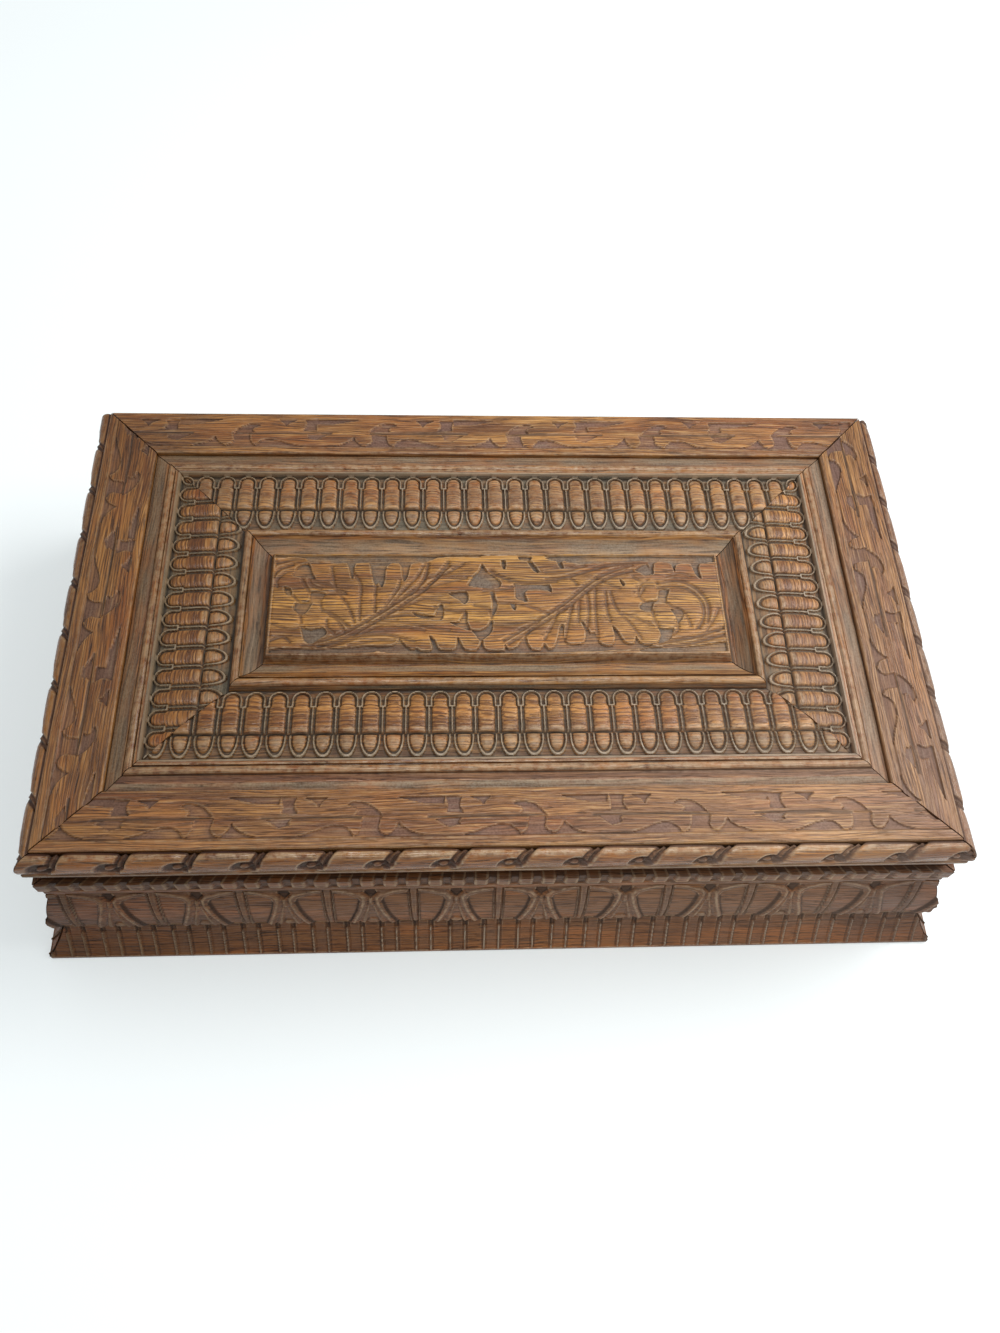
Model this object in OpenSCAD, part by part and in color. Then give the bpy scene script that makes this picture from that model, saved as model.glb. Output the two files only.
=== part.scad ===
// Carved oak keepsake box: a mitred, moulded lid hinged to a boarded body.
// Millimetres, +Z up. The origin is on the table, under the middle of the whole box's outline.
// X runs along the box, and the front faces -Y.

/* [Lid] */
// Length of the flat carved frame on top of the lid
lid_l = 340; // [280:1:420]
// Depth of the flat carved frame, front to back
lid_w = 204; // [180:1:260]
// Thickness of the board under the frame
lid_board_t = 11; // [9:0.5:16]
// Thickness of the frame rails
rail_t = 10.7; // [9:0.1:16]
// Width of the frame rails
rail_w = 23; // [18:0.5:30]
// Softening of the rails' top edges
rail_edge = 0.8; // [0.3:0.1:1.5]

/* [Lid mouldings] */
// Width of the cove and bead next to the frame
cove_bead_w = 10.8; // [9:0.1:13]
// Depth that the cove falls below the frame
cove_fall = 4; // [2:0.1:5]
// Radius of the bead
bead_r = 1.8; // [1.2:0.1:2.2]
// Width of the tongue band
band_w = 31.2; // [24:0.1:36]
// Depth of the band's ground below the frame
band_fall = 1.4; // [0.5:0.1:2.5]
// Height of the band's edge fillets above the frame
band_lip = 0.8; // [0.2:0.1:1.5]
// Width of the band's edge fillets
band_lip_w = 1.2; // [0.8:0.1:2]
// Distance from one tongue to the next
tongue_pitch = 8.88; // [8:0.02:12]
// Width of a tongue
tongue_w = 6.2; // [4:0.1:7]
// Height of a tongue above the ground
tongue_h = 2.4; // [1:0.1:2.8]
// Space between a tongue's end and the fillets
tongue_end = 1.3; // [0.6:0.1:3]
// Distance from the band's edge to the groove across the tongues
tongue_groove = 11.6; // [6:0.1:14]
// Width of the groove across the tongues
tongue_groove_w = 0.6; // [0.4:0.1:1.2]
// Depth of the groove, from the tops of the tongues
tongue_groove_sink = 1; // [0.4:0.1:2]
// Width of the inner bead and cove round the panel
inner_w = 11.4; // [9:0.1:14]
// Height of the inner bead above the frame
inner_rise = 1.9; // [0.5:0.1:3]

/* [Lid panel] */
// Height of the panel above the frame
panel_rise = 2.5; // [1:0.1:4]
// Sideways run of the panel's bevelled edge
panel_bevel = 1.2; // [0.5:0.1:3]
// Plain border round the carved field
panel_border = 1.6; // [1:0.1:5]
// Depth of the carved field
panel_sink = 1.6; // [0.6:0.1:2]

/* [Edge roll] */
// Radius of the roll round the lid's edge
roll_r = 4.2; // [3:0.1:5]
// Reach of the roll past the frame
roll_reach = 5.9; // [5:0.1:8]
// Drop of the roll's top below the frame
roll_drop = 0.9; // [0.3:0.1:2]
// Reach of the plain face under the roll, at its top
face_top_reach = 5.4; // [4.5:0.1:7]
// Reach of the plain face, at its foot
face_foot_reach = 3.9; // [2.5:0.1:6]
// Distance from one ribbon to the next
ribbon_pitch = 24; // [18:0.5:30]
// Width of a ribbon cut
ribbon_w = 2.2; // [1:0.1:3]
// Depth of a ribbon cut
ribbon_sink = 0.7; // [0.3:0.1:1]
// Radius of the berries beside the ribbons
berry_r = 1.5; // [0.8:0.1:2]

/* [Box] */
// Height of the walls above the bottom board
wall_h = 56; // [48:1:90]
// Thickness of the walls
wall_t = 12; // [10:0.5:18]
// Thickness of the bottom board
bottom_t = 8; // [5:0.5:12]
// Depth of the corner rebates
rebate = 5; // [3:0.5:7]

/* [Box mouldings] */
// Height of the ribbed base moulding
plinth_h = 20; // [14:0.5:24]
// Reach of the base moulding at the floor
plinth_reach = 17.3; // [13:0.1:24]
// Reach of the base moulding at its top
plinth_top_reach = 7.2; // [5:0.1:9]
// Upright edge at the base moulding's foot
plinth_foot = 1.6; // [0.5:0.1:4]
// Distance from one pair of ribs to the next
rib_pitch = 14.2; // [12:0.1:20]
// Distance between the two ribs of a pair
rib_pair = 6.1; // [4:0.1:8]
// Width of a rib
rib_w = 1; // [0.6:0.1:2]
// Height of a rib
rib_h = 0.8; // [0.3:0.1:1.5]
// Height of the leaf moulding
leaf_h = 29; // [18:0.5:30]
// Reach of the leaf moulding at its belly
leaf_reach = 10; // [8:0.1:12]
// Reach of the leaf moulding at its top
leaf_top_reach = 4.2; // [3:0.1:6]
// Height of the belly above the leaf moulding's foot
leaf_belly = 5; // [3:0.1:8]
// Distance from one leaf to the next
leaf_pitch = 33.6; // [26:0.1:44]
// Step down from the walls' top edge to the dentils
reveal = 1.5; // [0.5:0.1:3]
// Reach of the strip behind the dentils
dentil_back_reach = 3.4; // [2:0.1:4]
// Reach of the dentils
dentil_reach = 5.4; // [4.5:0.1:7]
// Height of the dentils
dentil_h = 7.2; // [5:0.1:8]
// Width of a dentil
dentil_w = 5.4; // [3:0.1:7]
// Distance from one dentil to the next
dentil_pitch = 8.6; // [8:0.1:12]

/* [Hinges] */
// Length of each hinge
hinge_l = 38; // [30:1:60]
// Distance from the box's end to the middle of a hinge
hinge_from_end = 62; // [45:1:90]
// Thickness of the hinge leaves
leaf_t = 1.5; // [1:0.1:2]
// Wood left between a leaf and the inside of the wall
leaf_margin = 2.5; // [1.5:0.1:4]
// Radius of the knuckles
knuckle_r = 2.6; // [2.4:0.1:3.5]
// Radius of the pins
pin_r = 1.2; // [0.8:0.1:1.4]
// Thickness of the pins' flat heads
pin_head_t = 0.7; // [0.4:0.1:1.5]
// Radius of the screws' shanks
screw_r = 1.1; // [0.8:0.1:1.3]
// Radius of the screws' heads
screw_head_r = 2.3; // [1.8:0.1:2.6]
// Length of the screws
screw_l = 8; // [6:0.5:8.5]

/* [Fits] */
// Gap between the closed lid and the walls
lid_gap = 0.3; // [0.2:0.05:0.6]
// Gap between one knuckle and the next
knuckle_gap = 0.3; // [0.2:0.05:0.6]
// Gap between the knuckles and the wood
wood_gap = 0.4; // [0.3:0.05:0.8]
// Clearance round a pin in its knuckles
pin_fit = 0.05; // [0.02:0.01:0.1]
// Clearance round a screw
screw_fit = 0.05; // [0.02:0.01:0.1]

/* [Hidden] */
$fn = 48;

// Heights
body_h = bottom_t + wall_h;
lid_z = body_h + lid_gap;
board_z = lid_z + lid_board_t;
frieze_z = board_z + rail_t;
dentil_top = body_h - reveal;
leaf_z = plinth_h;
strip_z = leaf_z + leaf_h;

// The hinge axis runs along X behind the back faces, in the middle of the gap under the lid.
axis_off = knuckle_r + wood_gap;
axis_z = body_h + lid_gap / 2;
back_reach = axis_off + knuckle_r;

// Plan: the whole outline, plinth to knuckles, is centred on the origin.
back_y = (lid_w + plinth_reach - back_reach) / 2;
front_y = back_y - lid_w;
axis_y = back_y + axis_off;

// Offsets inwards from the frame's outer edge
cove_s = rail_w;
band_s = cove_s + cove_bead_w;
inner_s = band_s + band_w;
panel_s = inner_s + inner_w;

// Colours
oak = [0.56, 0.36, 0.20];
oak_light = [0.66, 0.45, 0.24];
oak_red = [0.60, 0.37, 0.25];
oak_dark = [0.42, 0.29, 0.22];
oak_plain = [0.60, 0.44, 0.29];
brass = [0.72, 0.58, 0.30];

far = 400;
cut = 1;

function arc(c, r, a0, a1, n) = [for (i = [0 : n]) c + r * [cos(a0 + (a1 - a0) * i / n), sin(a0 + (a1 - a0) * i / n)]];

// A bar's own frame: X along it, Y inwards from the frame's outer edge, which is Y = 0.
// A profile is a list of [offset inwards, height]. Offsets below 0 lie outside the frame.
module bar(len, profile) {
  rotate([90, 0, 90])
    linear_extrude(height = len, center = true)
      polygon(profile);
}

// Cuts a bar's ends along the mitres of a frame whose outer edge is len long.
// square_lo and square_hi leave the end at -X or +X square.
module mitred(len, s0, s1, square_lo = false, square_hi = false) {
  intersection() {
    children();
    linear_extrude(height = far)
      polygon([
        [-len / 2 + (square_lo ? 0 : s0), s0],
        [len / 2 - (square_hi ? 0 : s0), s0],
        [len / 2 - (square_hi ? 0 : s1), s1],
        [-len / 2 + (square_lo ? 0 : s1), s1]
      ]);
  }
}

// Puts a bar on one side of the box.
module on_front() translate([0, front_y, 0]) children();
module on_back() translate([0, back_y, 0]) rotate(180) children();
module on_right() translate([lid_l / 2, (front_y + back_y) / 2, 0]) rotate(90) children();
module on_left() translate([-lid_l / 2, (front_y + back_y) / 2, 0]) rotate(-90) children();

// Lid board: one flat board under everything, let in for the hinge leaves.
module lid_board() {
  color(oak_plain)
    difference() {
      translate([-lid_l / 2, front_y, lid_z])
        cube([lid_l, lid_w, lid_board_t]);
      at_hinges() leaf_seat(lid_z, leaf_t);
      at_screws() translate([0, 0, lid_z - cut]) cylinder(h = screw_l + cut, r = screw_r + screw_fit);
    }
}

// Frame rails
rail_profile = [
  [0, board_z],
  [rail_w, board_z],
  [rail_w, frieze_z - rail_edge],
  [rail_w - rail_edge, frieze_z],
  [rail_edge, frieze_z],
  [0, frieze_z - rail_edge]
];
module rail(len) color(oak) mitred(len, 0, rail_w) bar(len, rail_profile);

// Cove and bead
bead_s = band_s - band_lip_w - bead_r;
cove_r = (bead_s - bead_r - cove_s) / sin(60);
cove_profile = concat(
  [[cove_s, board_z], [band_s, board_z], [band_s, frieze_z + band_lip], [band_s - band_lip_w, frieze_z + band_lip]],
  arc([bead_s, frieze_z - bead_r / 2], bead_r, 0, 180, 8),
  arc([cove_s, frieze_z - cove_fall + cove_r], cove_r, 330, 270, 6)
);
module cove_bead(len) color(oak_red) mitred(len, cove_s, band_s) bar(len, cove_profile);

// Tongue band
ground_z = frieze_z - band_fall;
tongue_r = (tongue_w * tongue_w / 4 + tongue_h * tongue_h) / (2 * tongue_h);
tongue_z = ground_z + tongue_h - tongue_r;
tongue_reach = band_w / 2 - band_lip_w - tongue_end - tongue_w / 2;
band_profile = [
  [band_s, board_z],
  [inner_s, board_z],
  [inner_s, frieze_z + band_lip],
  [inner_s - band_lip_w, frieze_z + band_lip],
  [inner_s - band_lip_w, ground_z],
  [band_s + band_lip_w, ground_z],
  [band_s + band_lip_w, frieze_z + band_lip],
  [band_s, frieze_z + band_lip]
];
module tongue() {
  translate([0, (band_s + inner_s) / 2, tongue_z]) {
    rotate([90, 0, 0]) cylinder(h = 2 * tongue_reach, r = tongue_r, center = true);
    for (side = [-1, 1])
      translate([0, side * tongue_reach, 0]) sphere(r = tongue_r);
  }
}
// The same strip runs round the panel, turned end for end at the front, so its groove lies outside there and
// inside on the other three sides.
module tongue_band(len, groove_s) {
  outer = len - 2 * band_s;
  pairs = floor(outer / tongue_pitch / 2);
  color(oak_light)
    mitred(len, band_s, inner_s) {
      difference() {
        union() {
          bar(len, band_profile);
          for (i = [-pairs : pairs - 1])
            translate([(i + 0.5) * tongue_pitch, 0, 0]) tongue();
        }
        translate([-len / 2, groove_s - tongue_groove_w / 2, ground_z + tongue_h - tongue_groove_sink])
          cube([len, tongue_groove_w, tongue_groove_sink + cut]);
      }
    }
}

// Inner bead and cove
inner_bead_s = inner_s + bead_r;
inner_cove_s = inner_bead_s + bead_r;
inner_cove_r = (panel_s - inner_cove_s) / sin(60);
inner_profile = concat(
  [[inner_s, board_z], [panel_s, board_z]],
  arc([panel_s, frieze_z - cove_fall / 2 + inner_cove_r], inner_cove_r, 270, 210, 6),
  arc([inner_bead_s, frieze_z + inner_rise - bead_r], bead_r, 0, 180, 8)
);
module inner_bead(len) color(oak_red) mitred(len, inner_s, panel_s) bar(len, inner_profile);

// Raised panel
panel_l = lid_l - 2 * panel_s;
panel_w = lid_w - 2 * panel_s;
panel_z = frieze_z + panel_rise;
bevel_z = frieze_z - cove_fall / 2;
function block_profile(half) = [
  [-half, board_z],
  [half, board_z],
  [half, bevel_z],
  [half - panel_bevel, panel_z],
  [-half + panel_bevel, panel_z],
  [-half, bevel_z]
];
module lid_panel() {
  field_l = panel_l - 2 * panel_bevel - 2 * panel_border;
  field_w = panel_w - 2 * panel_bevel - 2 * panel_border;
  color(oak_light)
    translate([0, (front_y + back_y) / 2, 0])
      difference() {
        intersection() {
          rotate([90, 0, 90]) linear_extrude(height = panel_l, center = true) polygon(block_profile(panel_w / 2));
          rotate([90, 0, 0]) linear_extrude(height = panel_w, center = true) polygon(block_profile(panel_l / 2));
        }
        translate([-field_l / 2, -field_w / 2, panel_z - panel_sink])
          cube([field_l, field_w, panel_sink + cut]);
      }
}

// Edge roll, with oblique ribbon cuts and a berry beside each
ribbon_tilt = 32;
berry_angle = 5;
berry_step = ribbon_pitch * 0.2;
dimple_r = 1.7 * berry_r;
roll_s = -(roll_reach - roll_r);
roll_z = frieze_z - roll_drop - roll_r;
roll_back_angle = 180 - acos(-roll_s / roll_r);
roll_profile = concat(
  [[0, lid_z], [0, roll_z + roll_r * sin(roll_back_angle)]],
  arc([roll_s, roll_z], roll_r, 180 - roll_back_angle, 250, 14),
  [[-face_top_reach, roll_z - roll_r - 0.2], [-face_foot_reach, lid_z]]
);
module ribbon_cut() {
  translate([0, roll_s, roll_z])
    difference() {
      rotate([0, ribbon_tilt, -ribbon_tilt]) cube([ribbon_w, 4 * roll_r, 4 * roll_r], center = true);
      rotate([0, 90, 0]) cylinder(h = 8 * roll_r, r = roll_r - ribbon_sink, center = true);
      translate([0, 0, -3 * roll_r]) cube([8 * roll_r, 8 * roll_r, 4 * roll_r], center = true);
    }
}
// The berry sits on the roll's outer side, in a round dimple as deep as its radius.
module ball_on_roll(r, depth) {
  reach = roll_r - depth;
  translate([-berry_step, roll_s - reach * cos(berry_angle), roll_z + reach * sin(berry_angle)]) sphere(r = r);
}
module edge_roll(len, square_lo = false, square_hi = false) {
  pairs = floor((len / 2 - roll_r) / ribbon_pitch);
  color(oak)
    mitred(len, -roll_reach, 0, square_lo, square_hi)
      union() {
        difference() {
          bar(len + 2 * roll_reach, roll_profile);
          for (i = [-pairs : pairs])
            translate([i * ribbon_pitch, 0, 0]) {
              ribbon_cut();
              ball_on_roll(dimple_r, berry_r - dimple_r);
            }
        }
        for (i = [-pairs : pairs])
          translate([i * ribbon_pitch, 0, 0]) ball_on_roll(berry_r, berry_r);
      }
}

// Box walls: the long walls lap over the short ones in rebates.
module long_wall() {
  translate([-lid_l / 2, 0, bottom_t])
    difference() {
      cube([lid_l, wall_t, wall_h]);
      for (x = [-cut, lid_l - wall_t])
        translate([x, wall_t - rebate, -cut])
          cube([wall_t + cut, rebate + cut, wall_h + 2 * cut]);
    }
}
module wall_front() color(oak_plain) on_front() long_wall();
module wall_back() {
  color(oak_plain)
    difference() {
      on_back() long_wall();
      at_hinges() leaf_seat(body_h - leaf_t, leaf_t + cut);
      at_screws() translate([0, 0, body_h - screw_l]) cylinder(h = screw_l + cut, r = screw_r + screw_fit);
    }
}
module short_wall() {
  len = lid_w - 2 * (wall_t - rebate);
  translate([-len / 2, 0, bottom_t]) cube([len, wall_t, wall_h]);
}
module bottom_board() {
  color(oak_plain)
    translate([-lid_l / 2, front_y, 0]) cube([lid_l, lid_w, bottom_t]);
}

// Dentil strip
dentil_z = dentil_top - dentil_h;
strip_quirk = 1.6;
strip_fillet = 2;
strip_fillet_reach = leaf_top_reach + 0.4;
strip_profile = [
  [0, strip_z],
  [0, dentil_top],
  [-dentil_back_reach, dentil_top],
  [-dentil_back_reach, dentil_z - strip_quirk],
  [-strip_fillet_reach, dentil_z - strip_quirk - 1],
  [-strip_fillet_reach, dentil_z - strip_quirk - 1 - strip_fillet],
  [-leaf_top_reach, dentil_z - strip_quirk - 1.6 - strip_fillet],
  [-leaf_top_reach, strip_z]
];
module dentil_strip(len, square_lo = false, square_hi = false) {
  pairs = floor((len / 2 - dentil_w / 2) / dentil_pitch);
  color(oak_dark)
    mitred(len, -dentil_reach, 0, square_lo, square_hi)
      union() {
        bar(len + 2 * dentil_reach, strip_profile);
        for (i = [-pairs : pairs])
          translate([i * dentil_pitch - dentil_w / 2, -dentil_reach, dentil_z])
            cube([dentil_w, dentil_reach, dentil_h]);
      }
}

// Leaf moulding: broad leaves with a raised vein, and hollows between them
dart_sink = 2.4;
dart_r = 8;
dart_top_r = 2;
vein_w = 1.6;
vein_h = 0.5;
belly_z = leaf_z + leaf_belly;
function leaf_out(z) = z > belly_z
  ? leaf_reach - (leaf_reach - leaf_top_reach) * pow((z - belly_z) / (strip_z - belly_z), 2)
  : leaf_reach - 1.25 * pow((belly_z - z) / leaf_belly, 2);
leaf_steps = 10;
function leaf_profile(lift) = concat(
  [[0, leaf_z]],
  [for (i = [0 : leaf_steps]) let (z = leaf_z + leaf_h * i / leaf_steps) [-leaf_out(z) - lift, z]],
  [[0, strip_z]]
);
// The hollow between two leaves is a leaning cone, wide at the foot and narrow at the top.
module leaf_dart() {
  lean = atan2(leaf_reach - leaf_top_reach + dart_r - dart_top_r, leaf_h);
  translate([0, -leaf_reach + dart_sink - dart_r, leaf_z])
    rotate([-lean, 0, 0])
      translate([0, 0, -cut]) cylinder(h = leaf_h / cos(lean) + 2 * cut, r1 = dart_r, r2 = dart_top_r);
}
module leaf_moulding(len, square_lo = false, square_hi = false) {
  pairs = floor(len / leaf_pitch / 2);
  color(oak_dark)
    mitred(len, -leaf_reach - vein_h, 0, square_lo, square_hi)
      union() {
        difference() {
          bar(len + 2 * leaf_reach, leaf_profile(0));
          for (i = [-pairs - 1 : pairs])
            translate([(i + 0.5) * leaf_pitch, 0, 0]) leaf_dart();
        }
        for (i = [-pairs : pairs])
          translate([i * leaf_pitch, 0, 0]) bar(vein_w, leaf_profile(vein_h));
      }
}

// Base moulding: a flared face with upright ribs in pairs
plinth_steps = 6;
function plinth_face(lift) = [
  for (i = [0 : plinth_steps])
    let (t = i / plinth_steps)
      [
        -(plinth_top_reach + (plinth_reach - plinth_top_reach - rib_h) * pow(1 - t, 1.3) + lift),
        plinth_foot + (plinth_h - plinth_foot) * t
      ]
];
function plinth_profile(lift) = concat(
  [[0, 0], [plinth_face(lift)[0][0], 0]],
  plinth_face(lift),
  [[0, plinth_h]]
);
module plinth(len, square_lo = false, square_hi = false) {
  pairs = floor(len / rib_pitch / 2) + 1;
  color(oak_dark)
    mitred(len, -plinth_reach, 0, square_lo, square_hi)
      union() {
        bar(len + 2 * plinth_reach, plinth_profile(0));
        for (i = [-pairs : pairs])
          for (side = [-1, 1])
            translate([i * rib_pitch + side * rib_pair / 2, 0, 0])
              bar(rib_w, plinth_profile(rib_h));
      }
}

// Hinges: five knuckles, three on the box leaf and two on the lid leaf
knuckle_l = (hinge_l - 4 * knuckle_gap) / 5;
plate_w = wall_t - leaf_margin;
screw_y = back_y - plate_w / 2;
hinge_x = lid_l / 2 - hinge_from_end;
screw_step = hinge_l / 3;

module at_hinges() for (x = [-hinge_x, hinge_x]) translate([x, 0, 0]) children();
module at_one_hinge_screws() for (i = [-1 : 1]) translate([i * screw_step, screw_y, 0]) children();
module at_screws() at_hinges() at_one_hinge_screws() children();
module leaf_seat(z, depth) {
  translate([-hinge_l / 2, back_y - plate_w, z])
    cube([hinge_l, plate_w + cut, depth]);
}
function knuckle_x(i) = -hinge_l / 2 + i * (knuckle_l + knuckle_gap);
module knuckles(list, z) {
  for (i = list)
    translate([knuckle_x(i), 0, 0]) {
      translate([0, axis_y, axis_z]) rotate([0, 90, 0]) cylinder(h = knuckle_l, r = knuckle_r);
      translate([0, back_y - cut, z]) cube([knuckle_l, axis_off + cut, leaf_t]);
    }
}
module pin_bore() {
  translate([0, axis_y, axis_z]) rotate([0, 90, 0]) cylinder(h = hinge_l + 2, r = pin_r + pin_fit, center = true);
}
module box_leaf() {
  color(brass)
    difference() {
      union() {
        translate([-hinge_l / 2, back_y - plate_w, body_h - leaf_t]) cube([hinge_l, plate_w, leaf_t]);
        knuckles([0, 2, 4], body_h - leaf_t);
      }
      pin_bore();
      at_one_hinge_screws() {
        translate([0, 0, body_h - leaf_t]) cylinder(h = leaf_t, r1 = screw_r + screw_fit, r2 = screw_head_r + screw_fit);
        translate([0, 0, body_h - leaf_t - cut]) cylinder(h = leaf_t, r = screw_r + screw_fit);
      }
    }
}
module lid_leaf() {
  color(brass)
    difference() {
      union() {
        translate([-hinge_l / 2, back_y - plate_w, lid_z]) cube([hinge_l, plate_w, leaf_t]);
        knuckles([1, 3], lid_z);
      }
      pin_bore();
      at_one_hinge_screws() {
        translate([0, 0, lid_z]) cylinder(h = leaf_t, r1 = screw_head_r + screw_fit, r2 = screw_r + screw_fit);
        translate([0, 0, lid_z + cut]) cylinder(h = leaf_t, r = screw_r + screw_fit);
      }
    }
}
module hinge_pin() {
  color(brass)
    translate([0, axis_y, axis_z])
      rotate([0, 90, 0]) {
        cylinder(h = hinge_l + 2 * pin_head_t, r = pin_r, center = true);
        for (side = [-1, 1])
          translate([0, 0, side * (hinge_l + pin_head_t) / 2])
            cylinder(h = pin_head_t, r = (pin_r + knuckle_r) / 2, center = true);
      }
}
// Countersunk screw, head down at z = 0 and shank upwards
module screw() {
  translate([0, 0, screw_fit]) cylinder(h = leaf_t - screw_fit, r1 = screw_head_r, r2 = screw_r);
  translate([0, 0, leaf_t - screw_fit]) cylinder(h = screw_l - leaf_t, r = screw_r);
}
module lid_hinge_screws() {
  color(brass) at_screws() translate([0, 0, lid_z]) screw();
}
module box_hinge_screws() {
  color(brass) at_screws() translate([0, 0, body_h]) mirror([0, 0, 1]) screw();
}

lid_board();
on_front() rail(lid_l);  // lid_rail_front
on_back() rail(lid_l);  // lid_rail_back
on_left() rail(lid_w);  // lid_rail_left
on_right() rail(lid_w);  // lid_rail_right
on_front() edge_roll(lid_l);  // edge_roll_front
on_left() edge_roll(lid_w, square_lo = true);  // edge_roll_left
on_right() edge_roll(lid_w, square_hi = true);  // edge_roll_right
on_front() cove_bead(lid_l);  // cove_bead_front
on_back() cove_bead(lid_l);  // cove_bead_back
on_left() cove_bead(lid_w);  // cove_bead_left
on_right() cove_bead(lid_w);  // cove_bead_right
on_front() tongue_band(lid_l, band_s + tongue_groove);  // tongue_band_front
on_back() tongue_band(lid_l, inner_s - tongue_groove);  // tongue_band_back
on_left() tongue_band(lid_w, inner_s - tongue_groove);  // tongue_band_left
on_right() tongue_band(lid_w, inner_s - tongue_groove);  // tongue_band_right
on_front() inner_bead(lid_l);  // inner_bead_front
on_back() inner_bead(lid_l);  // inner_bead_back
on_left() inner_bead(lid_w);  // inner_bead_left
on_right() inner_bead(lid_w);  // inner_bead_right
lid_panel();
wall_front();
wall_back();
color(oak_plain) on_left() short_wall();  // wall_left
color(oak_plain) on_right() short_wall();  // wall_right
bottom_board();
on_front() dentil_strip(lid_l);  // dentil_strip_front
on_left() dentil_strip(lid_w, square_lo = true);  // dentil_strip_left
on_right() dentil_strip(lid_w, square_hi = true);  // dentil_strip_right
on_front() leaf_moulding(lid_l);  // leaf_moulding_front
on_left() leaf_moulding(lid_w, square_lo = true);  // leaf_moulding_left
on_right() leaf_moulding(lid_w, square_hi = true);  // leaf_moulding_right
on_front() plinth(lid_l);  // plinth_front
on_left() plinth(lid_w, square_lo = true);  // plinth_left
on_right() plinth(lid_w, square_hi = true);  // plinth_right
translate([-hinge_x, 0, 0]) lid_leaf();  // left_hinge_lid_leaf
translate([hinge_x, 0, 0]) lid_leaf();  // right_hinge_lid_leaf
translate([-hinge_x, 0, 0]) box_leaf();  // left_hinge_box_leaf
translate([hinge_x, 0, 0]) box_leaf();  // right_hinge_box_leaf
translate([-hinge_x, 0, 0]) hinge_pin();  // left_hinge_pin
translate([hinge_x, 0, 0]) hinge_pin();  // right_hinge_pin
lid_hinge_screws();
box_hinge_screws();
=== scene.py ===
"""Carved oak keepsake box: the carving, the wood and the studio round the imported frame."""

import math

import bpy
import numpy as np
from mathutils import Matrix, Vector


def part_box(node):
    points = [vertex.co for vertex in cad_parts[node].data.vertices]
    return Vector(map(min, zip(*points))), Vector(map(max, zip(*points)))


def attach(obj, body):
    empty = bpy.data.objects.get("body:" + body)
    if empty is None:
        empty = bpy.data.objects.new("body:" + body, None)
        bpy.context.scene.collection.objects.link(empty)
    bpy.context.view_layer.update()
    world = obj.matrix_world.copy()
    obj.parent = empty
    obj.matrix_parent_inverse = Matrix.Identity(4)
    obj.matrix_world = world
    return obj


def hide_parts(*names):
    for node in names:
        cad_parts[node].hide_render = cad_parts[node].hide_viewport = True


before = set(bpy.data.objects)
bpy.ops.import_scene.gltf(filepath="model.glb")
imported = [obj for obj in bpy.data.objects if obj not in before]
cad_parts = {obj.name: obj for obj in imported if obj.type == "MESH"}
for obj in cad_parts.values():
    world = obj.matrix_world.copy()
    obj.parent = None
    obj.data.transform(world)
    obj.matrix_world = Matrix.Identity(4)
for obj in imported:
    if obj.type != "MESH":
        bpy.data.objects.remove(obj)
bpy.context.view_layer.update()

bl_info = {
    "name": "Carved Oak Keepsake Box",
    "version": (1, 0, 0),
    "blender": (4, 5, 0),
    "location": "View3D > Sidebar > Oak Box",
    "description": "Dresses the packed keepsake box with its carving and its old waxed oak",
    "category": "Object",
}

MM = 0.001

# Sizes read from the frame


def box_mm(node):
    """A CAD node's lowest and highest corner, in millimetres."""
    lo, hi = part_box(node)
    return np.array(lo) / MM, np.array(hi) / MM


BOARD_LO, BOARD_HI = box_mm("lid_board")
RAIL_HI = box_mm("lid_rail_front")[1]
HALF_L = BOARD_HI[0]
FRONT_Y, BACK_Y = BOARD_LO[1], BOARD_HI[1]
MID_Y = (FRONT_Y + BACK_Y) / 2
LID_L, LID_W = 2 * HALF_L, BACK_Y - FRONT_Y
LID_Z, BOARD_Z, FRIEZE_Z = BOARD_LO[2], BOARD_HI[2], RAIL_HI[2]
RAIL_W = RAIL_HI[1] - FRONT_Y
BAND_S = box_mm("tongue_band_front")[0][1] - FRONT_Y
INNER_S = box_mm("inner_bead_front")[0][1] - FRONT_Y
PANEL_LO, PANEL_HI = box_mm("lid_panel")
PANEL_S = PANEL_LO[1] - FRONT_Y
BAND_TOP = box_mm("cove_bead_front")[1][2]
INNER_TOP = box_mm("inner_bead_front")[1][2]
ROLL_REACH = FRONT_Y - box_mm("edge_roll_front")[0][1]
ROLL_TOP = box_mm("edge_roll_front")[1][2]
STRIP_LO, STRIP_HI = box_mm("dentil_strip_front")
LEAF_LO, LEAF_HI = box_mm("leaf_moulding_front")
PLINTH_LO, PLINTH_HI = box_mm("plinth_front")
SIDES = ("front", "back", "left", "right")
BOX_SIDES = ("front", "left", "right")


def at_side(side, x, s, z):
    """A bar's own x, its offset s inwards from the lid frame's edge and its height, as points in metres."""
    if side == "front":
        p = (x, FRONT_Y + s, z)
    elif side == "back":
        p = (-x, BACK_Y - s, z)
    elif side == "right":
        p = (HALF_L - s, MID_Y + x, z)
    else:
        p = (-HALF_L + s, MID_Y - x, z)
    return np.stack(np.broadcast_arrays(*p), -1) * MM


def side_length(side):
    """Length of the lid frame's edge on one side, in millimetres."""
    return LID_L if side in ("front", "back") else LID_W


def open_ends(side):
    """Which ends, at -x and +x, are square on a moulding that wraps three sides: only those at the back."""
    return {"front": (False, False), "left": (True, False), "right": (False, True)}[side]


# What a user may change


def paint(text):
    """An sRGB hex value as the linear colour that the shaders take."""
    parts = [int(text[i : i + 2], 16) / 255 for i in (1, 3, 5)]
    return tuple(c / 12.92 if c <= 0.04045 else ((c + 0.055) / 1.055) ** 2.4 for c in parts) + (1.0,)


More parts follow.
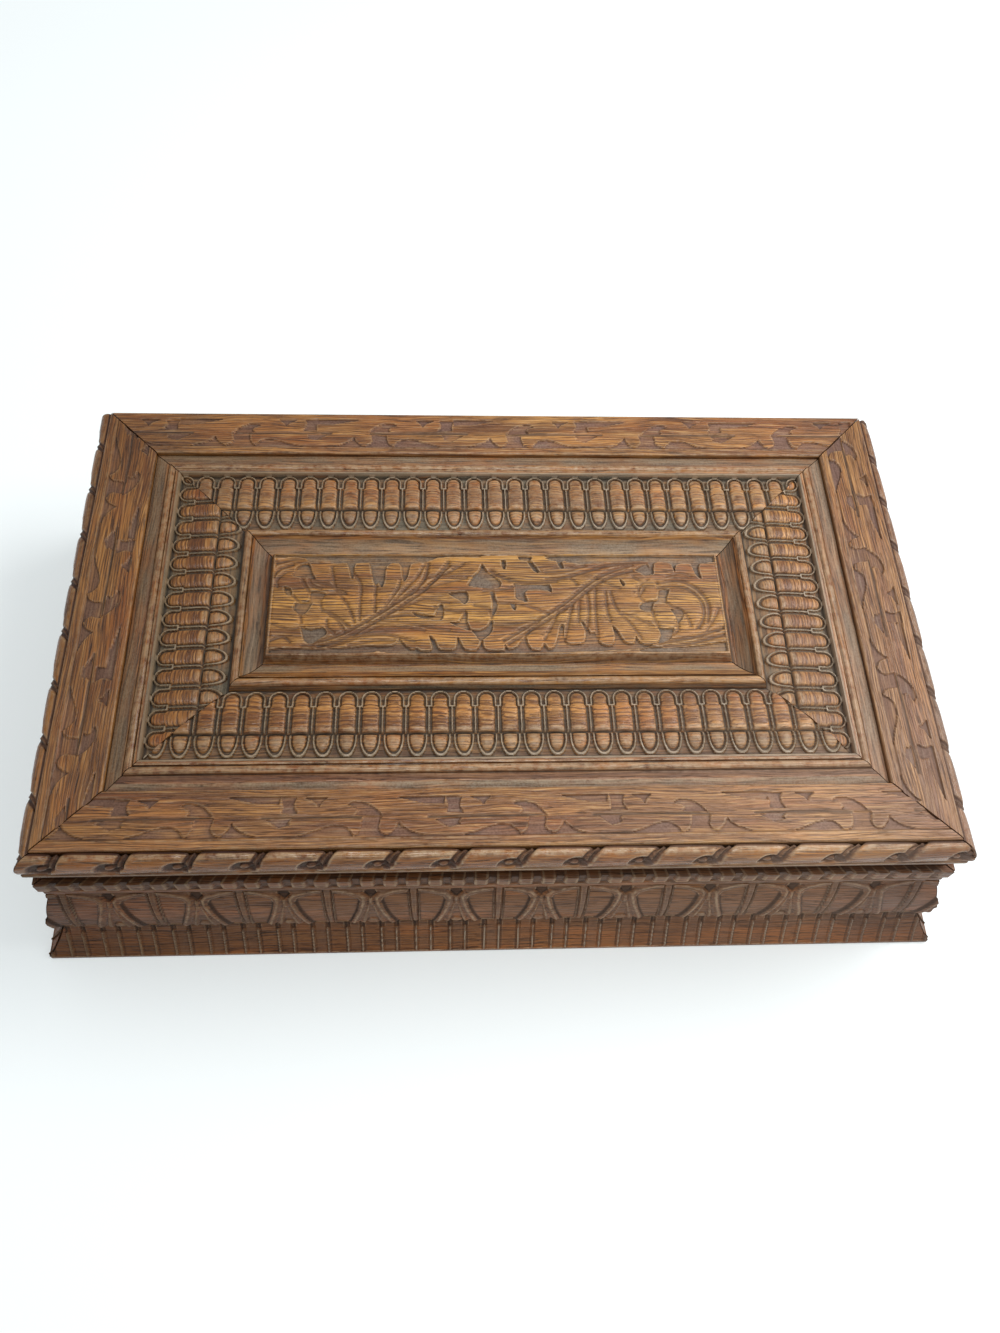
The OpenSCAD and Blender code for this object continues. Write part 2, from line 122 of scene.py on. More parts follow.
def length(name, text, value, low, high):
    """A length that a user may change, written here in millimetres and kept in metres."""
    value, low, high = value * MM, low * MM, high * MM
    return bpy.props.FloatProperty(
        name=name, description=text, default=value, min=low, max=high, precision=5, unit="LENGTH"
    )


def colour(name, text, value):
    """A colour that a user may change, written here as an sRGB hex value."""
    return bpy.props.FloatVectorProperty(
        name=name, description=text, default=paint(value), min=0, max=1, size=4, subtype="COLOR"
    )


class BOX_PG_sizes(bpy.types.PropertyGroup):
    """Sizes of the carving."""

    cell: length("Carving cell", "Spacing of the carved grids", 0.44, 0.3, 1)
    pocket_sink: length("Pocket depth", "Depth of the frieze's sunk pockets", 0.75, 0.2, 1.5)
    frieze_repeat: length("Frieze repeat", "Length of one repeat of the frieze", 60.6, 40, 90)
    tongue_pitch: length("Tongue pitch", "Distance from one tongue to the next", 8.88, 7, 12)
    tongue_half: length("Tongue half width", "Half the width of a tongue", 3.2, 2, 3.6)
    panel_sink: length("Panel ground depth", "Depth of the ground round the leaves", 1.2, 0.3, 2)
    ribbon_pitch: length("Ribbon pitch", "Distance from one ribbon to the next", 24.15, 15, 35)
    leaf_pitch: length("Leaf pitch", "Distance between the leaves of the body moulding", 33.6, 25, 45)
    rib_pitch: length("Rib pitch", "Distance between pairs of ribs on the base", 14.2, 10, 20)
    dentil_pitch: length("Dentil pitch", "Distance from one dentil to the next", 8.6, 6, 12)
    mitre_gap: length("Mitre gap", "Opening of the frame's mitre joints", 0.36, 0, 0.5)


class BOX_PG_colours(bpy.types.PropertyGroup):
    """Colours of the woods, the metal and the table."""

    frieze: colour("Frieze oak", "Late wood of the frieze's waxed oak", "#BA8547")
    roll: colour("Roll oak", "Late wood of the ribbon roll", "#B87C3A")
    tongues: colour("Tongue oak", "Late wood of the tongue bands", "#BE8647")
    panel: colour("Panel oak", "Late wood of the leaf panel", "#CC9548")
    bead: colour("Bead oak", "Late wood of the stained beads", "#A06836")
    body: colour("Body oak", "Late wood of the shaded body mouldings", "#84552E")
    plain: colour("Plain oak", "Unstained oak inside the box", "#A98258")
    brown: colour("Brown oak", "Middle tone of the waxed oak", "#7C5029")
    dark: colour("Dark pore", "Open pores of the oak", "#2E1B10")
    red: colour("Red stain", "Old stain that reddens the oak in patches", "#764425")
    # this colour also paints the highlights on crests and bevels
    wear_and_highlight: colour("Worn edge", "Edges rubbed pale", "#B59A7A")
    brass: colour("Old brass", "Brass of the hinges", "#A98B52")
    floor: colour("Table", "Pale table", "#FAFFFF")


def chosen(key):
    """One of the user's lengths, in millimetres."""
    return round(getattr(bpy.context.scene.oak_box_sizes, key) / MM, 4)


# Carving in numbers


def smooth(v, lo, hi):
    """0 below lo, 1 above hi and an easy slope between them."""
    t = np.clip((v - lo) / (hi - lo), 0, 1)
    return t * t * (3 - 2 * t)


def segment_distance(x, y, a, b):
    """Distance from the points (x, y) to the segment from a to b."""
    ax, ay, dx, dy = a[0], a[1], b[0] - a[0], b[1] - a[1]
    t = np.clip(((x - ax) * dx + (y - ay) * dy) / max(dx * dx + dy * dy, 1e-9), 0, 1)
    return np.hypot(x - ax - t * dx, y - ay - t * dy)


def line_distance(x, y, line):
    """Distance from the points (x, y) to the line through the given points."""
    far = np.full(x.shape, 1e9)
    for a, b in zip(line[:-1], line[1:]):
        far = np.minimum(far, segment_distance(x, y, a, b))
    return far


def in_reach(x, y, line, reach):
    """Which points lie in the line's own rectangle or within reach of it."""
    (x0, y0), (x1, y1) = line.min(0) - reach, line.max(0) + reach
    return (x > x0) & (x < x1) & (y > y0) & (y < y1)


def sunk(x, y, shapes, soft):
    """1 inside any of the outlines and 0 outside, with a slope soft millimetres wide between."""
    out = np.zeros(x.shape)
    for shape in shapes:
        closed = np.vstack([shape, shape[:1]]).astype(float)
        near = in_reach(x, y, closed, soft)
        u, v = x[near], y[near]
        within = np.zeros(u.shape, bool)
        for a, b in zip(closed[:-1], closed[1:]):
            crosses = (a[1] > v) != (b[1] > v)
            within ^= crosses & (u < a[0] + (b[0] - a[0]) * (v - a[1]) / (b[1] - a[1] + 1e-12))
        far = line_distance(u, v, closed)
        out[near] = np.maximum(out[near], smooth(np.where(within, far, -far), -soft / 2, soft / 2))
    return out


def beside(x, y, lines, reach):
    """1 on any of the lines, falling to 0 at reach millimetres from it."""
    out = np.zeros(x.shape)
    for line in lines:
        line = np.asarray(line, float)
        near = in_reach(x, y, line, reach)
        out[near] = np.maximum(out[near], 1 - smooth(line_distance(x[near], y[near], line), 0, reach))
    return out


def ridge_at(v, middle, flat, foot):
    """1 within flat millimetres of the middle, falling to 0 at foot millimetres from it."""
    return 1 - smooth(np.abs(v - middle), flat, foot)


def swell_at(v, middle, wide):
    """A bell-shaped swelling, 1 at its middle and about a third at wide millimetres from it."""
    return np.exp(-(((v - middle) / wide) ** 2))


def repeat_of(x, middle, pitch):
    """Where along its own repeat each x lies, from minus to plus half the pitch, 0 in its middle."""
    return (x - middle + pitch / 2) % pitch - pitch / 2


def curved(line, cuts=4):
    """A smooth line through the given points."""
    p = np.asarray(line, float)
    p = np.vstack([2 * p[0] - p[1], p, 2 * p[-1] - p[-2]])
    out = []
    for before, a, b, after in zip(p, p[1:], p[2:], p[3:]):
        for t in np.arange(cuts) / cuts:
            bend = (2 * before - 5 * a + 4 * b - after) * t ** 2 + (3 * a - before - 3 * b + after) * t ** 3
            out.append(a + 0.5 * ((b - before) * t + bend))
    return np.array(out + [p[-2]])


def softened(a, reach, axis):
    """A running mean over reach cells each way."""
    pad = [(0, 0)] * a.ndim
    pad[axis] = (reach + 1, reach)
    c = np.cumsum(np.pad(a, pad, mode="edge"), axis)
    n = c.shape[axis]
    hi = np.take(c, range(2 * reach + 1, n), axis)
    lo = np.take(c, range(0, n - 2 * reach - 1), axis)
    return (hi - lo) / (2 * reach + 1)


def hollows(points, reach):
    """How deep each point of a carved grid lies among its neighbours, in millimetres, edges below 0."""
    along, across = np.gradient(points, axis=1), np.gradient(points, axis=0)
    out = np.cross(along, across)
    out /= np.maximum(np.linalg.norm(out, axis=-1, keepdims=True), 1e-9)
    mean = points
    for _ in range(2):
        mean = softened(softened(mean, reach, 0), reach, 1)
    return ((mean - points) * out).sum(-1)


def steps_along(profile, cell):
    """Even steps along a profile of (s, z) points, with the outward direction at each step."""
    p = np.asarray(profile, float)
    d = np.r_[0, np.cumsum(np.hypot(*np.diff(p, axis=0).T))]
    t = np.linspace(0, d[-1], max(3, int(round(d[-1] / cell)) + 1))
    q = np.stack([np.interp(t, d, p[:, 0]), np.interp(t, d, p[:, 1])], -1)
    g = np.gradient(q, axis=0)
    g /= np.linalg.norm(g, axis=-1, keepdims=True)
    return q, np.stack([-g[:, 1], g[:, 0]], -1)


def arc(cs, cz, r, first, last, steps):
    """Points round (cs, cz) from the first to the last angle, in degrees."""
    turns = np.radians(np.linspace(first, last, steps + 1))
    return [(cs + r * math.cos(turn), cz + r * math.sin(turn)) for turn in turns]


# Making meshes


# Faces that meet at less than this angle are shaded as one
SMOOTH_ANGLE = math.radians(38)
# A rubbed place, and a place with a painted highlight, counts as an edge that stands out this far, in
# millimetres
RUB_HEIGHT = 0.15


def start_clean():
    """Leaves edit mode and deselects everything, so that the next operator acts on nothing else."""
    if bpy.context.object and bpy.context.object.mode != "OBJECT":
        bpy.ops.object.mode_set(mode="OBJECT")
    bpy.ops.object.select_all(action="DESELECT")


def in_edit(obj, *steps):
    """Runs edit-mode steps on one object with all of it selected."""
    bpy.ops.object.select_all(action="DESELECT")
    bpy.context.view_layer.objects.active = obj
    obj.select_set(True)
    bpy.ops.object.mode_set(mode="EDIT")
    bpy.ops.mesh.select_all(action="SELECT")
    for step in steps:
        step()
    bpy.ops.object.mode_set(mode="OBJECT")


def carved_grid(name, points, facts, closed):
    """A grid primitive laid onto an array of points. facts are per-point values that the materials read."""
    rows, cols = points.shape[:2]
    start_clean()
    bpy.ops.mesh.primitive_grid_add(x_subdivisions=cols - 1, y_subdivisions=rows - 1, size=1)
    obj = bpy.context.object
    obj.name = obj.data.name = name
    mesh = obj.data
    mesh.vertices.foreach_set("co", points.reshape(-1, 3).astype(np.float32).ravel())
    for layer in list(mesh.uv_layers):
        mesh.uv_layers.remove(layer)
    for key, value in facts.items():
        kind = "FLOAT_VECTOR" if value.ndim == 3 else "FLOAT"
        mesh.attributes.new(key, kind, "POINT").data.foreach_set(
            "vector" if kind == "FLOAT_VECTOR" else "value", value.astype(np.float32).ravel()
        )
    mesh.update()
    if closed:
        in_edit(
            obj,
            lambda: bpy.ops.mesh.remove_doubles(threshold=1e-6),
            lambda: bpy.ops.mesh.fill_holes(sides=0),
            lambda: bpy.ops.mesh.normals_make_consistent(inside=False),
        )
    return obj


def finish_piece(obj, dress, node):
    """Shades a piece, gives it the wood of its dress, hides the CAD node that it stands for and hangs it
    under its body.
    """
    slot, wood, body = dress
    start_clean()
    obj.select_set(True)
    bpy.context.view_layer.objects.active = obj
    bpy.ops.object.shade_smooth_by_angle(angle=SMOOTH_ANGLE)
    obj.data.materials.clear()
    obj.data.materials.append(bpy.data.materials[wood])
    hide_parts(node)
    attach(obj, body)
    obj.select_set(False)


def marks(flat, rub_and_highlight, ground):
    """What the materials read at each point: how hollow it is, how much of an edge, rubbed place and painted
    highlight, and its ground code.
    """
    return {"hollow": hollows(flat, 2), "edge": RUB_HEIGHT * rub_and_highlight - hollows(flat, 1), "ground": ground}


def carved_bar(
    name, node, side, dress, face, back, carve, seed, cell=None, gap=(None, None), square=(False, False)
):
    """One moulding of a frame: a grid wrapped round its profile, cut to its mitres and carved.

    face is the profile that shows, back the hidden corners that close it. carve(x, s, z) returns the height
    to raise each point by, its ground code and how pale it is rubbed, painted highlights counted in. A ground
    of 1 is dusty and sunk, 2 a raised line left grey, and -1 dark, for cracks and for painted shade. gap
    opens the mitres at -x and +x, and square says which ends have none.
    """
    cell = cell or chosen("cell")
    seed += SIDES.index(side)
    gap = [chosen("mitre_gap") if g is None else g for g in gap]
    half = side_length(side) / 2
    q, out = steps_along(face, cell)
    widest = half - min(0.0, q[:, 0].min())
    cols = int(round(2 * widest / cell)) + 1
    f = np.linspace(0, 1, cols)[None, :]

    def along(s):
        """The points' x from one end to the other, at the offset s."""
        lo = -half + (0 if square[0] else s + gap[0])
        hi = half - (0 if square[1] else s + gap[1])
        return lo + (hi - lo) * f

    s0, z0 = q[:, :1], q[:, 1:]
    x0 = along(s0)
    raised, ground, rub_and_highlight = carve(x0, s0 + 0 * x0, z0 + 0 * x0)
    s = s0 + out[:, :1] * raised
    z = z0 + out[:, 1:] * raised
    flat = np.stack([along(s), s, z], -1)
    row = np.ones((1, cols))
    hidden = [np.stack([along(row * corner[0]), row * corner[0], row * corner[1]], -1) for corner in back]
    ring = np.concatenate([flat] + hidden + [flat[:1]], 0)
    blank = np.zeros((len(hidden), cols))
    facts = {key: np.concatenate([a, blank, a[:1]], 0) for key, a in marks(flat, rub_and_highlight, ground).items()}
    # each bar is cut from its own place in the tree
    facts["grain"] = ring + np.array([137.0, 61.0, 0]) * seed
    obj = carved_grid(f"{name}_{side}", at_side(side, *np.moveaxis(ring, -1, 0)), facts, True)
    finish_piece(obj, dress, f"{node}_{side}")


# Frieze rails

# Width of the rail that the outlines are drawn on and height of its base line, in millimetres
DRAWN_RAIL, BASE_LINE = 24.7, 4.5
# Outlines of one repeat of the frieze's sunk ground, along and up that rail. 0 along is the thorn's point.
FRIEZE = [
    [(-5, 4.5), (-2.4, 6.0), (-0.8, 8.0), (0, 10.4), (1.3, 8.5), (3.8, 6.6), (7, 5.4), (10.5, 4.5)],
    [(-19.4, 17.4), (-17.4, 18.6), (-14.4, 18.5), (-11.4, 17.3), (-9.0, 15.3), (-7.2, 12.8), (-16.6, 13.3),
     (-15.4, 14.7), (-16.2, 16.3)],
    [(-13.6, 12.1), (-6.7, 12.4), (-7.1, 9.8), (-7.6, 8.0), (-6.4, 6.0), (-3.4, 4.5), (-17.6, 4.5),
     (-15.0, 5.8), (-14.0, 8.0)],
    [(-38.5, 4.5), (-33, 6.0), (-28.5, 7.9), (-24.5, 9.0), (-21.0, 8.6), (-18.9, 6.8), (-17.4, 4.5)],
    [(16.3, 20.9), (22.4, 20.6), (21.4, 18.4), (21.6, 16.4), (23.0, 14.1), (16.8, 14.3), (17.2, 17.4)],
    [(-1.8, 20.9), (17.2, 20.9), (16.8, 17.9), (9, 18.3), (3.4, 19.6)],
    [(25.2, 20.6), (33.8, 20.7), (31.6, 18.8), (30.6, 16.9), (29.2, 18.9)],
    [(12.0, 11.5), (15.6, 12.1), (22.2, 12.0), (20.6, 10.4), (21.6, 9.3), (17.4, 8.1), (14.6, 10.0)],
]
# One strap of the frieze, cut as a line from each hook to the next stem
STRAP = [(10.5, 12.3), (30, 12.45), (53.5, 12.3)]
# Where a thorn's point falls on each rail
THORNS = {"front": 22.0, "back": 1.0, "left": 11.2, "right": -25.3}


def thorn_places(side):
    """Where the repeats of the frieze stand along one rail."""
    return [THORNS[side] + k * chosen("frieze_repeat") for k in range(-4, 5)]


def frieze_shapes(side):
    """The repeat laid along one rail, each copy cut a little differently, as by hand."""
    rng = np.random.default_rng({"front": 3, "back": 5, "left": 7, "right": 11}[side])
    end = side_length(side) / 2 - 8
    shapes = []
    for x0 in thorn_places(side):
        for outline in FRIEZE:
            p = np.array(outline, float)
            middle = p.mean(0)
            p = middle + (p - middle) * rng.uniform(0.92, 1.08, 2)
            low = p[:, 1] < BASE_LINE + 0.4
            p[:, 0] += x0 + rng.uniform(-0.7, 0.7)
            p[~low, 1] += rng.uniform(-0.25, 0.25)
            p[low, 1] = BASE_LINE
            if p[:, 0].min() > end or p[:, 0].max() < -end:
                continue
            shaky = [p[0]]
            for a, b in zip(p, np.roll(p, -1, axis=0)):
                shaky += [a + (b - a) * 0.5 + rng.uniform(-0.12, 0.12, 2), b]
            shapes.append(np.array(shaky[:-1]))
    return shapes


def make_rail(side):
    """One rail of the frame: pockets sunk between a base line and the rail's far edge, and straps across."""
    shapes = frieze_shapes(side)
    straps = [[(x + dx, up) for dx, up in STRAP] for x in thorn_places(side)]
    flip = side in ("back", "right")
    scale = RAIL_W / DRAWN_RAIL
    sink, line_sink, border_at = chosen("pocket_sink"), 0.4, 3.8

    def carve(x, s, z):
        up = (RAIL_W - s if flip else s) / scale
        pocket = sunk(x, up, shapes, 0.3)
        line = ridge_at(up, BASE_LINE, 0.05, 0.5)
        strap = beside(x, up, straps, 0.9) * (1 - pocket)
        raised = -sink * pocket - line_sink * np.maximum(line, strap) * (1 - pocket)
        # the flats are hand worked, true to a tenth of a millimetre
        raised += 0.05 * np.sin(x / 9 + up) * np.sin(up / 2.3 + x / 23)
        top = smooth(z, FRIEZE_Z - 0.3, FRIEZE_Z - 0.05)
        # the border along the rail's outer edge is rubbed pale and is partly a painted highlight
        border_rub_and_highlight = ridge_at(up, border_at, 0.2, 0.6) + 0.3 * smooth(up, 0.5, 1.3) * (1 - smooth(up, 3.2, 3.6))
        return raised * top, (pocket - (0.95 * strap + 0.5 * line) * (1 - pocket)) * top, border_rub_and_highlight * top

    soft, joint, side_h = 0.8, 0.2, 2.4
    inner = RAIL_W - joint
    face = [(0, FRIEZE_Z - side_h), (0, FRIEZE_Z - soft)] + arc(soft, FRIEZE_Z - soft, soft, 170, 90, 4)
    face += arc(inner - soft, FRIEZE_Z - soft, soft, 90, 0, 4) + [(inner, FRIEZE_Z - side_h)]
    dress = ("carved_lid_oak", "waxed_oak_frieze", "lid")
    carved_bar("frieze", "lid_rail", side, dress, face, [(inner, BOARD_Z), (0, BOARD_Z)], carve, seed=1)


class BOX_OT_frieze(bpy.types.Operator):
    """Carves the four mitred rails of the lid's frame."""

    bl_idname = "oakbox.frieze"
    bl_label = "Frieze rails"

    def execute(self, context):
        for side in SIDES:
            make_rail(side)
        return {"FINISHED"}


# Edge rolls

# Half the roll's depth and half its height
ROLL_A, ROLL_B = 4.2, 6.1
# Below the roll's top: the foot of the plain face, the two edges of its fillet and the foot of the roll
FACE_FOOT, FILLET_LOW, FILLET_HIGH, ROLL_FOOT = 13.2, 12.7, 11.1, 10.5
# A berry's place in degrees round the roll from its top, the berry's radius and its dish's two half widths
BERRY_TURN, BERRY_R, DISH_X, DISH_ROUND = 88, 1.9, 5.0, 4.9
# Millimetres round the roll for one radian, and the angle from its top above which the ribbons lean more
ROLL_R, BEND_TURN = 5.9, 46
# The middle of one berry on each side
BERRIES = {"front": 1.3, "left": 4.9, "right": 1.0}


def make_edge_roll(side):
    """One side of the lid's edge: the roll with its ribbons and berries over a fillet and a plain face."""
    top = ROLL_TOP
    cs, cz = -(ROLL_REACH - ROLL_A), top - ROLL_B
    face = [(-2.6, LID_Z), (-2.6, top - FACE_FOOT), (-5.0, top - FILLET_LOW), (-5.3, top - FILLET_HIGH)]
    face.append((-4.7, top - ROLL_FOOT))
    for turn in np.radians(np.linspace(-135, math.degrees(math.asin(-cs / ROLL_A)), 44)):
        face.append((cs + ROLL_A * math.sin(turn), cz + ROLL_B * math.cos(turn)))
    at_front = side == "front"
    pitch = chosen("ribbon_pitch") * (1 if at_front else 0.98)
    bold, highlight_share = (1.0, 1.0) if at_front else (0.6, 0.3)

    def carve(x, s, z):
        # turn is the angle round the roll from its top: 90 is its outermost line
        turn = np.degrees(np.arctan2(-(s - cs) / ROLL_A, (z - cz) / ROLL_B))
        on_roll = smooth(z, top - ROLL_FOOT, top - ROLL_FOOT + 0.6)
        lean = 4.5 + np.where(turn < BEND_TURN, 0.047, 0.03) * (BEND_TURN - turn)
        v = repeat_of(x, BERRIES[side] + lean, pitch)
        # the ribbon's two cuts and its rounded back, which end above the roll's outermost line
        lower = 1 - smooth(turn, 72, 88)
        cut = (1.2 * swell_at(v, 1.35, 0.8) + 0.85 * swell_at(v, -1.35, 0.65)) * lower
        round_off = 0.7 * swell_at(v, 0, 3.4) * lower
        # the berry in its dish
        u = repeat_of(x, BERRIES[side], pitch)
        arc_mm = np.radians(turn - BERRY_TURN) * ROLL_R
        far = np.hypot(u / DISH_X, arc_mm / DISH_ROUND)
        dimple = 1.8 * (1 - smooth(far, 0.7, 1.02))
        berry = np.sqrt(np.clip(1 - (np.hypot(u + 0.2, arc_mm) / BERRY_R) ** 2, 0, 1)) * 1.2
        taper = 0.5 * (((x - BERRIES[side] - lean) / pitch) % 1.0 - 0.5)
        raised = -(taper + round_off + np.maximum(cut, dimple)) * bold + berry * (far < 1) * bold
        ridge = swell_at(v, 0, 0.75) * lower * (far > 1)
        stain = -np.clip(1.5 * cut + 1.2 * dimple + 0.6 * ridge, 0, 1) * on_roll
        stain = stain * (1 - 0.6 * smooth(berry, 0.3, 0.9))
        joint = smooth(s, -1.3, -0.7) * smooth(z, cz, cz + 1)
        # painted shade: the plain face below the fillet is painted dark
        shade_under = 1 - smooth(z, top - FACE_FOOT, top - FACE_FOOT + 0.7)
        fillet = smooth(z, top - 12.6, top - 12.2) * (1 - smooth(z, top - 10.9, top - 10.4))
        stain = np.where(joint > 0.3, -0.9, stain) - 0.75 * shade_under + 0.45 * fillet
        # painted highlight: the roll's top is painted pale, less on the side rolls
        crest_highlight = swell_at(turn, 4, 20) * on_roll * (stain > -0.3) * highlight_share
        lip = ridge_at(z, top - 11.2, 0.4, 1.0)
        return np.minimum((raised - 0.3) * on_roll, 0), stain, np.maximum(crest_highlight, lip) - 0.6 * (far < 1)

    dress = ("carved_lid_oak", "waxed_oak_roll", "lid")
    back = [(0, LID_Z)]
    carved_bar("ribbon_roll", "edge_roll", side, dress, face, back, carve, seed=6, square=open_ends(side))


class BOX_OT_edge_rolls(bpy.types.Operator):
    """Carves the ribbon-and-berry roll along three edges of the lid."""

    bl_idname = "oakbox.edge_rolls"
    bl_label = "Edge rolls"

    def execute(self, context):
        for side in BOX_SIDES:
            make_edge_roll(side)
        return {"FINISHED"}


# Plain lid mouldings

BEAD_R = 1.8
LIP_W = 1.2
BEAD_CELL = 0.65
BEAD_GAP = (0.24, 0.24)
# The hollow beside each bead spans 60 degrees
SIN_60 = math.sin(math.radians(60))


def planed(hollow_from, hollow_to, crack_and_shade=0, shade=0):
    """A moulding run with a plane and rubbed by hand: almost true, with dust left in its hollow.

    crack_and_shade is how far, in millimetres, old dark wax and a painted shadow of the panel spread from the
    panel, and shade how dark the painted shade is on the part of the hollow next to the bead.
    """

    def carve(x, s, z):
        dusty = smooth(s, hollow_from, hollow_from + 0.3) * (1 - smooth(s, hollow_to - 1.6, hollow_to))
        stain = 0.7 * dusty
        if shade:
            # painted shade on the part of the hollow next to the bead
            waxed = smooth(s, hollow_to - 3.4, hollow_to - 2.2) * (1 - smooth(s, hollow_to, hollow_to + 0.4))
            stain = stain * (1 - waxed) - shade * waxed
        # old dark wax and the panel's painted shadow, darkest at the panel
        if crack_and_shade:
            edge = PANEL_S - crack_and_shade
            stain = stain * (1 - smooth(s, edge - 0.8, edge)) - smooth(s, edge, PANEL_S)
        wave = 0.06 * np.sin(x / 17 + s) + 0.03 * np.sin(x / 5.3) - 0.09
        rubbed = swell_at(s, hollow_from + 0.45 * (hollow_to - hollow_from), 0.7)
        return wave, stain, (1.0 if shade else 0.6) * rubbed

    return carve


def make_cove_bead(side):
    """The hollow, the bead and the flat lip between the frieze and the tongues."""
    bead_s = BAND_S - LIP_W - BEAD_R
    width = bead_s - BEAD_R - RAIL_W
    foot = FRIEZE_Z - 4 + width / SIN_60 / 2
    face = [(RAIL_W + width * t, foot - 1.5 * (1 - t) ** 1.6) for t in np.linspace(0, 0.99, 14)]
    face += arc(bead_s, FRIEZE_Z - BEAD_R / 2, BEAD_R, 180, 0, 18)
    face += [(BAND_S - LIP_W, BAND_TOP), (BAND_S, BAND_TOP)]
    carve = planed(RAIL_W - 1, bead_s - BEAD_R, shade=0.6 if side == "front" else 0)
    dress = ("lid_bead_oak", "stained_oak_bead", "lid")
    back = [(BAND_S, BOARD_Z), (RAIL_W, BOARD_Z)]
    carved_bar("cove_and_bead", "cove_bead", side, dress, face, back, carve, 11, cell=BEAD_CELL, gap=BEAD_GAP)


def make_inner_bead(side):
    """The bead and the hollow between the tongues and the panel."""
    bead_s = INNER_S + BEAD_R
    cove_s = bead_s + BEAD_R
    r = (PANEL_S - cove_s) / SIN_60
    face = arc(bead_s, INNER_TOP - BEAD_R, BEAD_R, 180, 0, 18)
    face += arc(PANEL_S, FRIEZE_Z - 2 + r, r, 210, 270, 12)
    # old dark wax and the panel's painted shadow reach this far across the hollow, widest on the left
    crack_and_shade = {"left": 1.9, "right": 1.6}.get(side, 0.7)
    carve = planed(cove_s + (3.6 if side == "front" else 1), PANEL_S + 3, crack_and_shade=crack_and_shade)
    wood = "golden_oak_bead" if side in ("front", "back") else "umber_oak_bead"
    dress = ("lid_bead_oak", wood, "lid")
    back = [(PANEL_S, BOARD_Z), (INNER_S, BOARD_Z)]
    name = "inner_bead_moulding"
    carved_bar(name, "inner_bead", side, dress, face, back, carve, 16, cell=BEAD_CELL, gap=BEAD_GAP)


class BOX_OT_lid_mouldings(bpy.types.Operator):
    """Runs the cove and bead outside the tongue band, and the bead and cove round the panel."""

    bl_idname = "oakbox.lid_mouldings"
    bl_label = "Lid mouldings"

    def execute(self, context):
        for side in SIDES:
            make_cove_bead(side)
            make_inner_bead(side)
        return {"FINISHED"}


# Tongue bands

# The middle of one tongue on each side
TONGUES = {"front": 2.9, "back": 0.0, "left": 5.3, "right": 1.2}
# Width of the band that the section is drawn on, in millimetres, and places across it: the middle of the low
# ends, the groove, the bar where the arches start and the middle of the top ends
DRAWN_BAND = 31.2
LOW_END, GROOVE, BAR, TOP_END = 9.0, 11.2, 22.9, 26.0
# The moulding before it was cut, as places and heights: a narrow bead, a groove and a broad, falling swell
BAND_PLACES = [1.2, 2.6, 5, 7.6, 9.6, 10.8, 11.5, 12.2, 13.2, 16, 20, 24, 27, 29.8]
BAND_HEIGHTS = [-0.7, -0.3, 0.4, 0.75, 0.55, 0.05, 0.3, 1.0, 1.15, 1.05, 0.7, 0.2, -0.2, -0.55]
# More tongues than any side has
MANY = 80


